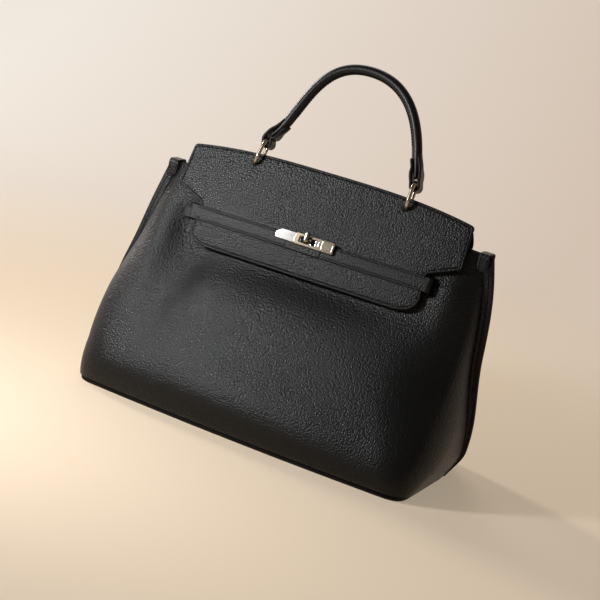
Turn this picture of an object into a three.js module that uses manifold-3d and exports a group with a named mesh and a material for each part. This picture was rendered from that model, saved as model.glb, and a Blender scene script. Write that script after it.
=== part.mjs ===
// A black leather top-handle bag with a belted flap and a turn lock.
// Millimetres, +Z up, front towards -Y, origin at the centre of the underside of the base.
import * as THREE from 'three';
import { mergeVertices } from 'three/addons/utils/BufferGeometryUtils.js';
import Module from 'manifold-3d';

const wasm = await Module();
wasm.setup();

// Driving dimensions of the body
const gap = 0.3;
const bodyLeather = 2.0;
const baseWidth = 344;
const seamBaseWidth = 350;
const baseDepth = 170;
const baseThickness = 4;
const boardThickness = 2;
const bodyHeight = 218;
const mouthWidth = 320;
const mouthDepth = 16;
const bellyReach = 20;
const bellyHeight = 60;
const neckReach = 18;
const neckHeight = 100;
const mouthFrontWidth = 292;
const frontSwellLow = 8;
const frontSwellLowHeight = 70;
const frontSwellHigh = 22;
const frontSwellHighHeight = 130;
const sideSwellLow = 14;
const sideSwellLowHeight = 45;
const sideSwellHigh = 23;
const sideSwellHighHeight = 125;
const cornerRoundBase = 16;
const cornerRoundMouth = 26;
const seamLean = 0.1;
const seamFlange = 8;
const seamFlangeFoot = 3;
const flangeFadeHeight = 26;

// Driving dimensions of the inside
const liningThickness = 1.0;
const liningSeamInset = 14;
const facingHeight = 27;
const facingThickness = 1.2;
const pocketWidth = 150;
const pocketHeight = 80;
const pocketTopDrop = 62;
const pocketThickness = 1.0;

// Driving dimensions of the side tabs
const tabWidth = 10.5;
const tabHeight = 16;
const tabThickness = 1.8;

// Driving dimensions of the flap
const flapLeather = 2.0;
const flapLiningThickness = 1.0;
const crownRise = 31;
const crownArch = 9;
const crownWidth = 292;
const flapWidth = 297;
const flapCornerDrop = 17;
const notchDrop = 29.5;
const notchWidth = 235;
const tongueDrop = 67;
const tongueWidth = 241;
const tongueShoulderDrop = 51;
const tongueCorner = 26;
const tongueTaper = 1;
const crownStripHeight = 15;
const flapLiningInset = 1.5;

// Driving dimensions of the belt straps
const strapWidth = 14;
const strapThickness = 2.2;
const strapCentreDrop = 38.5;
const slitOffset = 5.2;
const strapOverhang = 1;
const strapBendDrop = 0.5;
const slitWidth = 3.4;
const tailLength = 11;
const tailThickness = 1.6;

// Driving dimensions of the lock
const lockDrop = 34;
const lockBaseWidth = 26;
const lockBaseHeight = 13;
const lockBaseThickness = 1.0;
const lockBossRadius = 3.2;
const lockBossHeight = 4.6;
const knobStemRadius = 1.6;
const knobLength = 8.5;
const knobWidth = 4;
const knobHeadHeight = 4.2;
const knobRunClearance = 0.05;
const plateThickness = 1.2;
const leftPlateStart = -33;
const leftPlateEnd = 12;
const leftPlateHeight = 9.8;
const rightPlateStart = -13;
const rightPlateEnd = 28;
const rightPlateHeight = 11;
const rightBlockStart = 14;
const windowHeight = 6.4;
const windowReach = 9;
const knobRoom = 0.5;
const strapEndLeft = -20;
const strapEndRight = 16;
const rivetEdge = 4;
const rivetStep = 5;
const rivetRadius = 1.1;
const rivetHeadRadius = 2.0;
const rivetHeadHeight = 0.6;
const screwRadius = 1.0;
const screwSpacing = 19;
const screwHeadRadius = 1.8;
const screwHeadHeight = 0.8;
const eyeletRim = 2.0;
const eyeletThickness = 1.0;
const eyeletDrift = 3.2;

// Driving dimensions of the rings and the handle
const ringSpacing = 158;
const ringWire = 3;
const ringRadius = 9;
const ringStraight = 9;
const ringBridge = 9;
const ringSlotWidth = 4.2;
const handleDiameter = 10;
const handleCoreDiameter = 6;
const handleLean = 13;
const handleRise = 96.5;
const handleTopShift = 1.7;
const handleLegLean = 27;
const handleSlump = 11.5;
const handleLegPull = 29;
const handleTopPull = 51.5;
const loopWidth = 11;
const loopDepth = 9;
const loopFoot = 5;
const loopTop = 20;

// Shares that shape curves and rounded corners
const cornerShareLimit = 0.85;
const crownPullNear = 0.17;
const crownPullFar = 0.33;
const slotRoundShare = 0.4;
const eyeletRoundShare = 0.6;
const windowRoundShare = 0.3;
const squareRoundShare = 0.3;
const softRoundShare = 0.6;
const lockRoundShare = 0.4;
const knobRoundShare = 0.45;
const tailBendShare = 0.4;

// Mesh fineness
const panelRows = 13;
const cornerSteps = 7;
const flatSteps = 5;
const sideSteps = 3;
const curveSteps = 8;
const roundSides = 16;
const tubeSides = 10;
const ringSteps = 36;
const handleSteps = 30;
const searchSteps = 40;
const spanSteps = 4;
const tiltPasses = 6;

// Finishes
function finish(color, roughness, metalness) {
  return new THREE.MeshStandardMaterial({ color, roughness, metalness });
}
const blackLeather = finish(0x1d1c1d, 0.55, 0);
const edgeLeather = finish(0x161516, 0.5, 0);
const liningCloth = finish(0x3a332e, 0.9, 0);
const stiffBoard = finish(0x4b4640, 0.8, 0);
const paleGold = finish(0xd9c6a0, 0.25, 1);
const silver = finish(0xc9c6c2, 0.25, 1);
const cordCore = finish(0x8d867a, 0.9, 0);

const bag = new THREE.Group();

function place(parent, name, geometry, material) {
  const mesh = new THREE.Mesh(geometry, material);
  mesh.name = name;
  parent.add(mesh);
  return mesh;
}

// Solids joined and cut
function toSolid(geometry) {
  const bare = geometry.clone();
  bare.deleteAttribute('normal');
  bare.deleteAttribute('uv');
  const merged = mergeVertices(bare, 1e-4);
  const vertProperties = new Float32Array(merged.attributes.position.array);
  const triVerts = new Uint32Array(merged.index.array);
  return new wasm.Manifold(new wasm.Mesh({ numProp: 3, vertProperties, triVerts }));
}

function toGeometry(solid) {
  const mesh = solid.getMesh();
  const geometry = new THREE.BufferGeometry();
  geometry.setAttribute('position', new THREE.BufferAttribute(mesh.vertProperties, mesh.numProp));
  geometry.setIndex(new THREE.BufferAttribute(mesh.triVerts, 1));
  geometry.computeVertexNormals();
  return geometry;
}

function cutFrom(geometry, cutters) {
  let solid = toSolid(geometry);
  for (const cutter of cutters) solid = solid.subtract(toSolid(cutter));
  return toGeometry(solid);
}

function joined(pieces) {
  let solid = toSolid(pieces[0]);
  for (const piece of pieces.slice(1)) solid = solid.add(toSolid(piece));
  return toGeometry(solid);
}

function fromTriangles(points, triangles) {
  const geometry = new THREE.BufferGeometry();
  const flat = points.flatMap((point) => [point.x, point.y, point.z]);
  geometry.setAttribute('position', new THREE.Float32BufferAttribute(flat, 3));
  geometry.setIndex(triangles);
  geometry.computeVertexNormals();
  return geometry;
}

function facingOut(geometry) {
  const index = geometry.index.array;
  const position = geometry.attributes.position;
  const corners = [new THREE.Vector3(), new THREE.Vector3(), new THREE.Vector3()];
  let volume = 0;
  for (let start = 0; start < index.length; start += 3) {
    corners.forEach((corner, offset) => corner.fromBufferAttribute(position, index[start + offset]));
    volume += corners[0].dot(corners[1].clone().cross(corners[2]));
  }
  if (volume > 0) return geometry;
  const turned = [];
  for (let start = 0; start < index.length; start += 3) {
    turned.push(index[start], index[start + 2], index[start + 1]);
  }
  geometry.setIndex(turned);
  geometry.computeVertexNormals();
  return geometry;
}

// A sheet with thickness, from matching grids of points on its two faces
function sheetSolid(outer, inner) {
  const rows = outer.length;
  const columns = outer[0].length;
  const points = [...outer.flat(), ...inner.flat()];
  const triangles = [];
  const at = (side, row, column) => side * rows * columns + row * columns + column;
  const quad = (a, b, c, d) => triangles.push(a, b, c, a, c, d);
  for (let row = 0; row < rows - 1; row += 1) {
    for (let column = 0; column < columns - 1; column += 1) {
      quad(at(0, row, column), at(0, row, column + 1), at(0, row + 1, column + 1), at(0, row + 1, column));
      quad(at(1, row, column), at(1, row + 1, column), at(1, row + 1, column + 1), at(1, row, column + 1));
    }
    const last = columns - 1;
    quad(at(0, row, 0), at(0, row + 1, 0), at(1, row + 1, 0), at(1, row, 0));
    quad(at(0, row, last), at(1, row, last), at(1, row + 1, last), at(0, row + 1, last));
  }
  const top = rows - 1;
  for (let column = 0; column < columns - 1; column += 1) {
    quad(at(0, 0, column), at(1, 0, column), at(1, 0, column + 1), at(0, 0, column + 1));
    quad(at(0, top, column), at(0, top, column + 1), at(1, top, column + 1), at(1, top, column));
  }
  return facingOut(fromTriangles(points, triangles));
}

// A solid through closed loops of points, capped flat at the first and the last loop
function loopSolid(loops) {
  const count = loops[0].length;
  const points = loops.flat();
  const triangles = [];
  for (let row = 0; row < loops.length - 1; row += 1) {
    for (let step = 0; step < count; step += 1) {
      const next = (step + 1) % count;
      const a = row * count + step;
      const b = row * count + next;
      triangles.push(a, b, b + count, a, b + count, a + count);
    }
  }
  const cap = (row, flip) => {
    const centre = new THREE.Vector3();
    loops[row].forEach((point) => centre.addScaledVector(point, 1 / count));
    const middle = points.push(centre) - 1;
    for (let step = 0; step < count; step += 1) {
      const a = row * count + step;
      const b = row * count + ((step + 1) % count);
      triangles.push(middle, flip ? b : a, flip ? a : b);
    }
  };
  cap(0, true);
  cap(loops.length - 1, false);
  return facingOut(fromTriangles(points, triangles));
}

// A flat outline in x and z, with its thickness towards -Y from a start distance
function plateSolid(shape, start, thickness) {
  const geometry = new THREE.ExtrudeGeometry(shape, {
    depth: thickness, bevelEnabled: false, curveSegments: curveSteps,
  });
  geometry.rotateX(Math.PI / 2);
  geometry.translate(0, -start, 0);
  return geometry;
}

function pinAlongY(radius, start, end, x = 0, z = 0) {
  const geometry = new THREE.CylinderGeometry(radius, radius, end - start, roundSides);
  geometry.translate(x, -(start + end) / 2, z);
  return geometry;
}

function roundedBox(left, right, low, high, radius) {
  const shape = new THREE.Shape();
  shape.moveTo(left + radius, low);
  shape.lineTo(right - radius, low);
  shape.absarc(right - radius, low + radius, radius, -Math.PI / 2, 0);
  shape.lineTo(right, high - radius);
  shape.absarc(right - radius, high - radius, radius, 0, Math.PI / 2);
  shape.lineTo(left + radius, high);
  shape.absarc(left + radius, high - radius, radius, Math.PI / 2, Math.PI);
  shape.lineTo(left, low + radius);
  shape.absarc(left + radius, low + radius, radius, Math.PI, Math.PI * 1.5);
  return shape;
}

// Body form: half depth and half width at each height
const vector = (x, y) => new THREE.Vector2(x, y);
const depthCurve = new THREE.CubicBezierCurve(
  vector(0, baseDepth / 2),
  vector(bellyHeight, baseDepth / 2 + bellyReach),
  vector(neckHeight, mouthDepth / 2 + neckReach),
  vector(bodyHeight, mouthDepth / 2),
);
const frontCurve = new THREE.CubicBezierCurve(
  vector(0, baseWidth / 2),
  vector(frontSwellLowHeight, baseWidth / 2 + frontSwellLow),
  vector(frontSwellHighHeight, mouthFrontWidth / 2 + frontSwellHigh),
  vector(bodyHeight, mouthFrontWidth / 2),
);
const seamCurve = new THREE.CubicBezierCurve(
  vector(0, seamBaseWidth / 2),
  vector(sideSwellLowHeight, seamBaseWidth / 2 + sideSwellLow),
  vector(sideSwellHighHeight, mouthWidth / 2 + sideSwellHigh),
  vector(bodyHeight, mouthWidth / 2),
);

// The second coordinate of a curve where its rising first coordinate has a value
function valueAt(curve, along) {
  let low = 0;
  let high = 1;
  for (let step = 0; step < searchSteps; step += 1) {
    const middle = (low + high) / 2;
    if (curve.getPoint(middle).x < along) low = middle;
    else high = middle;
  }
  return curve.getPoint((low + high) / 2).y;
}
const halfDepth = (height) => valueAt(depthCurve, height);
const frontHalf = (height) => valueAt(frontCurve, height);
const seamHalf = (height) => valueAt(seamCurve, height);
const seamShift = (height) => seamLean * (bodyHeight - height);
const share = (height) => THREE.MathUtils.clamp(height / bodyHeight, 0, 1);

// Half of a plan section, from the middle of the front round the corner to the side seam
function halfSection(height, inset, seamInset, seamDepth) {
  const corner = vector(frontHalf(height) - seamInset, inset - halfDepth(height));
  const seam = vector(seamHalf(height) - seamInset, -seamDepth);
  const side = seam.clone().sub(corner);
  const round = THREE.MathUtils.lerp(cornerRoundBase, cornerRoundMouth, share(height));
  const start = vector(corner.x - round, corner.y);
  const end = corner.clone().addScaledVector(side, Math.min(round / side.length(), cornerShareLimit));
  const turn = new THREE.QuadraticBezierCurve(start, corner, end);
  const points = [];
  for (let step = 0; step < flatSteps; step += 1) {
    points.push(vector((start.x * step) / flatSteps, start.y));
  }
  points.push(...turn.getPoints(cornerSteps));
  for (let step = 1; step <= sideSteps; step += 1) {
    points.push(end.clone().lerp(seam, step / sideSteps));
  }
  return points;
}

function mirroredSection(half) {
  const left = half.slice(1).reverse().map((point) => vector(-point.x, point.y));
  return [...left, ...half];
}

function offsetPath(path, distance) {
  return path.map((point, index) => {
    const before = path[Math.max(index - 1, 0)];
    const after = path[Math.min(index + 1, path.length - 1)];
    const first = point.clone().sub(before).normalize();
    const second = after.clone().sub(point).normalize();
    const along = first.clone().add(second).normalize();
    const facing = index > 0 && index < path.length - 1 ? along.dot(second) : 1;
    return vector(point.x - (along.y * distance) / facing, point.y + (along.x * distance) / facing);
  });
}

function lift(points, height, side) {
  return points.map((point) => new THREE.Vector3(point.x, side * point.y, height));
}

// Front and back panels, with flanges that meet at the side seams
const panelFoot = baseThickness + gap;
const seamMiddle = gap / 2 + bodyLeather / 2;

function flangeReach(height) {
  const grown = THREE.MathUtils.smoothstep(height, 0, flangeFadeHeight);
  return THREE.MathUtils.lerp(seamFlangeFoot, seamFlange, grown);
}

function panelPath(height, side) {
  const seamDepth = seamMiddle + side * seamShift(height);
  const half = halfSection(height, bodyLeather / 2, 0, seamDepth);
  half.push(vector(seamHalf(height) + flangeReach(height), -seamDepth));
  return mirroredSection(half);
}

function panelSolid(side) {
  const outer = [];
  const inner = [];
  for (let row = 0; row <= panelRows; row += 1) {
    const height = THREE.MathUtils.lerp(panelFoot, bodyHeight, row / panelRows);
    const path = panelPath(height, side);
    outer.push(lift(offsetPath(path, -bodyLeather / 2), height, side));
    inner.push(lift(offsetPath(path, bodyLeather / 2), height, side));
  }
  return sheetSolid(outer, inner);
}

// The flap lies in one plane, from the crown down over the front panel
const crownTop = bodyHeight + crownRise;
const crownHalf = flapLeather + gap / 2;
const flapStack = flapLeather + gap + flapLiningThickness;

function flapTilt() {
  let tilt = 0;
  for (let pass = 0; pass < tiltPasses; pass += 1) {
    const stack = flapStack / Math.cos(tilt) - crownHalf;
    let steepest = 0;
    for (let drop = 0; drop <= tongueDrop; drop += 1) {
      const height = bodyHeight - drop;
      const overLock = Math.abs(drop - lockDrop) <= lockBaseHeight / 2;
      const room = overLock ? 3 * gap + lockBaseThickness : gap;
      const clear = halfDepth(height) + room + stack;
      steepest = Math.max(steepest, clear / (crownTop - height));
    }
    tilt = Math.atan(steepest);
  }
  return tilt;
}
const tilt = flapTilt();
const along = (drop) => -(drop + crownRise) / Math.cos(tilt);

// In this group x runs across, z runs up the flap and -y points out of its outer face
const flapPlane = new THREE.Group();
flapPlane.position.set(0, -crownHalf, crownTop);
flapPlane.rotation.x = -tilt;
bag.add(flapPlane);

// The panel's outer face seen from the flap plane, as a distance behind the flap's outer face
function panelBehind(drop) {
  const height = bodyHeight - drop;
  const flapFace = crownHalf + (crownTop - height) * Math.tan(tilt);
  return (flapFace - halfDepth(height)) * Math.cos(tilt);
}

// The nearest and the furthest of those distances over the height of a flat piece
function panelSpan(drop, height) {
  const reach = (height / 2) * Math.cos(tilt);
  const places = [];
  for (let step = -spanSteps; step <= spanSteps; step += 1) {
    places.push(panelBehind(drop + (reach * step) / spanSteps));
  }
  return { nearest: Math.min(...places), furthest: Math.max(...places) };
}

const crownCurve = new THREE.CubicBezierCurve(
  vector(0, 0),
  vector(crownWidth * crownPullNear, 0),
  vector(crownWidth * crownPullFar, 0),
  vector(crownWidth / 2, -crownArch / Math.cos(tilt)),
);
const crownPoints = crownCurve.getPoints(curveSteps);
const mirrorPoint = (point) => vector(-point.x, point.y);

// Ring seats
const ringX = ringSpacing / 2;
const ringInner = ringRadius - ringWire / 2;
const ringOuter = ringRadius + ringWire / 2;
const ringEdge = valueAt(crownCurve, ringX);
const slotTop = ringEdge - ringBridge;
const ringPivot = slotTop + Math.sqrt((ringInner - gap) ** 2 - crownHalf ** 2);
const slotFoot = ringPivot - ringOuter - gap;
const slotRadius = Math.min(ringSlotWidth, slotTop - slotFoot) * slotRoundShare;

function ringSlot(side) {
  const middle = side * ringX;
  return roundedBox(middle - ringSlotWidth / 2, middle + ringSlotWidth / 2, slotFoot, slotTop, slotRadius);
}

// Lock centre and the cut-outs around its knob
const lockAlong = along(lockDrop);
const eyeletHalfWidth = knobWidth / 2 + knobRoom;
const eyeletTop = lockAlong + knobLength / 2 + knobRoom;
const eyeletFoot = lockAlong - knobLength / 2 - knobRoom - eyeletDrift;

const eyeletRound = eyeletHalfWidth * eyeletRoundShare;

function eyeletHole(grow) {
  const reach = eyeletHalfWidth + grow;
  return roundedBox(-reach, reach, eyeletFoot - grow, eyeletTop + grow, eyeletRound + grow);
}

function flapOutline(inset, top) {
  const half = [
    vector(flapWidth / 2 - inset, along(flapCornerDrop) + inset),
    vector(notchWidth / 2 + inset, along(notchDrop) + inset),
    vector(notchWidth / 2 - inset, along(notchDrop)),
    vector(tongueWidth / 2 - inset, along(tongueShoulderDrop)),
  ];
  const round = new THREE.QuadraticBezierCurve(
    half[3],
    vector(tongueWidth / 2 - inset - tongueTaper, along(tongueDrop) + inset),
    vector(tongueWidth / 2 - inset - tongueCorner, along(tongueDrop) + inset),
  );
  const right = [...half.slice(0, 3), ...round.getPoints(curveSteps)];
  const left = right.map(mirrorPoint).reverse();
  const crown = top.map(mirrorPoint).reverse().concat(top.slice(1));
  return new THREE.Shape([...crown, ...right, ...left]);
}

const flapShape = flapOutline(0, crownPoints);
flapShape.holes.push(ringSlot(-1), ringSlot(1), eyeletHole(eyeletRim / 2));
place(flapPlane, 'flap_outer', plateSolid(flapShape, -flapLeather, flapLeather), blackLeather);

const stripFoot = -crownStripHeight;
const stripShape = new THREE.Shape([
  ...crownPoints.map(mirrorPoint).reverse(),
  ...crownPoints.slice(1),
  vector(crownWidth / 2, stripFoot),
  vector(-crownWidth / 2, stripFoot),
]);
stripShape.holes.push(ringSlot(-1), ringSlot(1));
const stripStart = -2 * flapLeather - gap;
place(flapPlane, 'crown_backing', plateSolid(stripShape, stripStart, flapLeather), blackLeather);

const liningTop = stripFoot - gap;
const liningEdge = [vector(0, liningTop), vector(crownWidth / 2 - flapLiningInset, liningTop)];
const liningShape = flapOutline(flapLiningInset, liningEdge);
liningShape.holes.push(eyeletHole(eyeletRim / 2));
place(flapPlane, 'flap_lining', plateSolid(liningShape, -flapStack, flapLiningThickness), liningCloth);

const eyeletShape = eyeletHole(eyeletRim);
eyeletShape.holes.push(eyeletHole(0));
place(flapPlane, 'flap_eyelet', plateSolid(eyeletShape, gap, eyeletThickness), paleGold);

// Flexible leather between the crown and the back panel, where the flap bends
function hingeSheet() {
  const face = (behind, point) => {
    const inPlane = new THREE.Vector3(0, behind, stripFoot - gap);
    flapPlane.updateMatrixWorld(true);
    const top = flapPlane.localToWorld(inPlane);
    return [new THREE.Vector3(0, point, bodyHeight + gap), new THREE.Vector3(0, top.y, top.z)];
  };
  const across = (point) => [-1, 1].map((side) => point.clone().setX((side * crownWidth) / 2));
  const spread = (points) => points.map(across);
  const front = spread(face(flapStack + gap, mouthDepth / 2 - bodyLeather));
  const rear = spread(face(flapStack + gap + bodyLeather, mouthDepth / 2));
  return sheetSolid(front, rear);
}
place(bag, 'flap_hinge', hingeSheet(), blackLeather);

// Straps, their sewn tails and the slits that they pass through
const strapAlong = along(strapCentreDrop);
const slitX = tongueWidth / 2 + slitOffset;
const strapSpan = panelSpan(strapCentreDrop, strapWidth);
const wall = bodyLeather * Math.cos(tilt);
const throughCut = 4 * bodyLeather;
const strapMiddle = gap + strapThickness / 2;
const strapTurnX = tongueWidth / 2 + strapOverhang;
const tailLow = -(strapSpan.furthest + wall + gap + tailThickness);
const tailMiddle = tailLow + tailThickness / 2;

function ribbonShape(path, thickness) {
  const over = offsetPath(path, thickness / 2);
  const under = offsetPath(path, -thickness / 2).reverse();
  return new THREE.Shape([...over, ...under]);
}

// A path in x and in distance out of the flap's outer face, as a ribbon across the strap's width
function ribbonSolid(side, pathPoints, thickness) {
  const path = pathPoints.map(([x, out]) => vector(side * x, -out));
  const outline = ribbonShape(path, thickness);
  const geometry = new THREE.ExtrudeGeometry(outline, { depth: strapWidth, bevelEnabled: false });
  geometry.translate(0, 0, strapAlong - strapWidth / 2);
  return geometry;
}

function strapPath(side) {
  const end = side > 0 ? strapEndRight : -strapEndLeft;
  const bend = new THREE.CubicBezierCurve(
    vector(strapTurnX, strapMiddle),
    vector(slitX, strapMiddle),
    vector(slitX, strapMiddle - strapBendDrop),
    vector(slitX, -strapSpan.nearest + gap),
  );
  return [[end, strapMiddle], ...bend.getPoints(curveSteps).map((point) => [point.x, point.y])];
}

function tailPath() {
  const bend = new THREE.CubicBezierCurve(
    vector(slitX, -strapSpan.nearest),
    vector(slitX, tailMiddle),
    vector(slitX, tailMiddle),
    vector(slitX + tailLength * tailBendShare, tailMiddle),
  );
  const points = bend.getPoints(curveSteps).map((point) => [point.x, point.y]);
  return [...points, [slitX + tailLength, tailMiddle]];
}

function slitCutter(side) {
  const box = new THREE.BoxGeometry(slitWidth, throughCut, strapWidth + 4 * gap);
  box.translate(side * slitX, (strapSpan.nearest + strapSpan.furthest + wall) / 2, strapAlong);
  return box;
}

// Cut-outs in the two metal plates: a tall place for the upright knob and a window beside it
function aroundLock(left, right, height, radius) {
  return roundedBox(left, right, lockAlong - height / 2, lockAlong + height / 2, radius);
}

function knobCut() {
  const tall = aroundLock(-eyeletHalfWidth, eyeletHalfWidth, knobLength + 2 * knobRoom, eyeletRound);
  const window = aroundLock(-eyeletHalfWidth, windowReach, windowHeight, windowHeight * windowRoundShare);
  return [tall, window].map((shape) => plateSolid(shape, leftPlateLow - gap, plateStack + 2 * gap));
}

const leftPlateLow = strapMiddle + strapThickness / 2 + gap;
const rightPlateLow = leftPlateLow + plateThickness + gap;
const plateStack = rightPlateLow + plateThickness - leftPlateLow;

function leftPlate() {
  const round = (leftPlateHeight / 2) * squareRoundShare;
  const outline = aroundLock(leftPlateStart, leftPlateEnd, leftPlateHeight, round);
  return cutFrom(plateSolid(outline, leftPlateLow, plateThickness), knobCut());
}

function rightPlate() {
  const half = rightPlateHeight / 2;
  const outline = aroundLock(rightPlateStart, rightPlateEnd, rightPlateHeight, half * softRoundShare);
  const block = aroundLock(rightBlockStart, rightPlateEnd, rightPlateHeight, half * squareRoundShare);
  const cover = plateSolid(outline, rightPlateLow, plateThickness);
  const foot = plateSolid(block, leftPlateLow, plateStack);
  return cutFrom(joined([cover, foot]), knobCut());
}

const rivetPlaces = {
  left: [leftPlateStart + rivetEdge, leftPlateStart + rivetEdge + rivetStep],
  right: [rightPlateEnd - rivetEdge - rivetStep, rightPlateEnd - rivetEdge],
};
const rivetFoot = gap / 2;

function rivetSolid(x) {
  const shank = pinAlongY(rivetRadius, rivetFoot, leftPlateLow - gap, x, lockAlong);
  const head = pinAlongY(rivetHeadRadius, rivetFoot, rivetFoot + rivetHeadHeight, x, lockAlong);
  return joined([shank, head]);
}

function rivetRoom(x) {
  const shank = pinAlongY(rivetRadius + gap, -gap, leftPlateLow, x, lockAlong);
  const head = pinAlongY(rivetHeadRadius + gap, -gap, rivetFoot + rivetHeadHeight + gap, x, lockAlong);
  return [shank, head];
}

const plates = { left: [leftPlate(), silver], right: [rightPlate(), paleGold] };
for (const [word, side] of [['left', -1], ['right', 1]]) {
  const rooms = rivetPlaces[word].flatMap(rivetRoom);
  const strap = cutFrom(ribbonSolid(side, strapPath(side), strapThickness), rooms);
  place(flapPlane, `strap_${word}`, strap, blackLeather);
  place(flapPlane, `strap_tail_${word}`, ribbonSolid(side, tailPath(), tailThickness), edgeLeather);
  place(flapPlane, `strap_plate_${word}`, plates[word][0], plates[word][1]);
  rivetPlaces[word].forEach((x, index) => {
    place(flapPlane, `strap_rivet_${word}_${index + 1}`, rivetSolid(x), paleGold);
  });
}

// Lock base on the front panel, its backing inside and the screws between them
const lockSpan = panelSpan(lockDrop, lockBaseHeight);
const lockBaseLow = -lockSpan.nearest + gap;
const lockBaseTop = lockBaseLow + lockBaseThickness;
const bossTop = lockBaseLow + lockBossHeight;
const backingTop = -lockSpan.furthest - wall - gap;
const backingLow = backingTop - lockBaseThickness;
const screwHeadTop = backingLow - gap;
const screwHeadLow = screwHeadTop - screwHeadHeight;
const knobHeadLow = rightPlateLow + plateThickness + gap;
const stemEnd = lockBaseLow;
const lockBore = knobStemRadius + knobRunClearance;

function lockPlateShape() {
  const round = (lockBaseHeight / 2) * lockRoundShare;
  return aroundLock(-lockBaseWidth / 2, lockBaseWidth / 2, lockBaseHeight, round);
}

const screwPlaces = [-screwSpacing / 2, screwSpacing / 2];
const screwCuts = (grow) => screwPlaces.map((x) => (
  pinAlongY(screwRadius + grow, screwHeadLow - gap, lockBaseTop + gap, x, lockAlong)
));

function lockBase() {
  const plate = plateSolid(lockPlateShape(), lockBaseLow, lockBaseThickness);
  const boss = pinAlongY(lockBossRadius, lockBaseLow, bossTop, 0, lockAlong);
  const bore = pinAlongY(lockBore, lockBaseLow - gap, bossTop + gap, 0, lockAlong);
  return cutFrom(joined([plate, boss]), [bore, ...screwCuts(gap)]);
}
place(flapPlane, 'lock_base', lockBase(), paleGold);
place(
  flapPlane, 'lock_backing',
  cutFrom(plateSolid(lockPlateShape(), backingLow, lockBaseThickness), screwCuts(gap)), silver,
);

function lockScrew(x) {
  const shank = pinAlongY(screwRadius, backingLow, lockBaseTop, x, lockAlong);
  const head = pinAlongY(screwHeadRadius, screwHeadLow, screwHeadTop, x, lockAlong);
  const neck = pinAlongY(screwRadius, screwHeadTop - gap, backingLow + gap, x, lockAlong);
  return joined([shank, neck, head]);
}
place(flapPlane, 'lock_screw_left', lockScrew(screwPlaces[0]), silver);
place(flapPlane, 'lock_screw_right', lockScrew(screwPlaces[1]), silver);

function lockKnob() {
  const stem = pinAlongY(knobStemRadius, stemEnd, knobHeadLow + gap, 0, lockAlong);
  const head = aroundLock(-knobWidth / 2, knobWidth / 2, knobLength, knobWidth * knobRoundShare);
  return joined([stem, plateSolid(head, knobHeadLow, knobHeadHeight)]);
}
place(flapPlane, 'lock_knob', lockKnob(), paleGold);

// Panels, with the slits and the lock's screw holes cut in the front
flapPlane.updateMatrixWorld(true);
const inWorld = (geometry) => geometry.applyMatrix4(flapPlane.matrixWorld);
const panelCuts = [slitCutter(-1), slitCutter(1), ...screwCuts(gap)].map(inWorld);
place(bag, 'front_panel', cutFrom(panelSolid(1), panelCuts), blackLeather);
place(bag, 'back_panel', panelSolid(-1), blackLeather);

// Base, stiffening board and lining
function closedLoop(height, inset, seamInset) {
  const front = mirroredSection(halfSection(height, inset, seamInset, 0));
  const back = front.slice(1, -1).reverse().map((point) => vector(point.x, -point.y));
  return lift([...front, ...back], height, 1);
}
const atHeight = (loop, height) => loop.map((point) => point.clone().setZ(height));

const baseLoop = closedLoop(baseThickness, 0, 0);
place(bag, 'base_panel', loopSolid([atHeight(baseLoop, 0), baseLoop]), blackLeather);

// The lining clears the strap tails and the lock's screw heads, which stand behind the front panel
const screwSpan = panelSpan(lockDrop, 2 * screwHeadRadius);
const tailDepth = (-tailLow - strapSpan.nearest) / Math.cos(tilt);
const screwDepth = (-screwHeadLow - screwSpan.nearest) / Math.cos(tilt);
const liningInset = Math.max(tailDepth, screwDepth) + gap;
const boardFoot = baseThickness + gap;
const boardLoop = closedLoop(boardFoot, liningInset, liningInset);
const boardTop = boardFoot + boardThickness;
place(bag, 'base_board', loopSolid([boardLoop, atHeight(boardLoop, boardTop)]), stiffBoard);

const liningFoot = boardTop + gap;
const liningRim = bodyHeight - facingHeight;

function liningLoops(inset, foot) {
  const loops = [];
  for (let row = 0; row <= panelRows; row += 1) {
    const height = THREE.MathUtils.lerp(foot, liningRim, row / panelRows);
    loops.push(closedLoop(height, inset, liningSeamInset + inset - liningInset));
  }
  return loops;
}

function liningBag() {
  const outer = liningLoops(liningInset, liningFoot);
  const inner = liningLoops(liningInset + liningThickness, liningFoot + liningThickness);
  return loopSolid([...outer, ...inner.reverse()]);
}
place(bag, 'lining_bag', liningBag(), liningCloth);

// Mouth facings inside the two panels, and a patch pocket inside the back
function band(side, foot, top, reach, inset, thickness) {
  const faces = [inset, inset + thickness].map((depth) => {
    const rows = [];
    for (let row = 0; row <= curveSteps; row += 1) {
      const height = THREE.MathUtils.lerp(foot, top, row / curveSteps);
      const away = side * -(halfDepth(height) - depth);
      rows.push([-reach, reach].map((x) => new THREE.Vector3(x, away, height)));
    }
    return rows;
  });
  return sheetSolid(faces[0], faces[1]);
}
const facingReach = mouthFrontWidth / 2 - cornerRoundMouth - bodyLeather;
const facingInset = bodyLeather + gap;
for (const [word, side] of [['front', 1], ['back', -1]]) {
  const facing = band(side, liningRim + gap, bodyHeight - gap, facingReach, facingInset, facingThickness);
  place(bag, `${word}_facing`, facing, edgeLeather);
}
const pocketTop = bodyHeight - pocketTopDrop;
const pocketInset = liningInset + liningThickness + gap;
place(
  bag, 'inner_pocket',
  band(-1, pocketTop - pocketHeight, pocketTop, pocketWidth / 2, pocketInset, pocketThickness), liningCloth,
);

// Leather tabs folded over the tops of the side seams
const tabOuterX = mouthWidth / 2 + seamFlange + gap;
const tabInnerX = tabOuterX - tabWidth;

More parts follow.
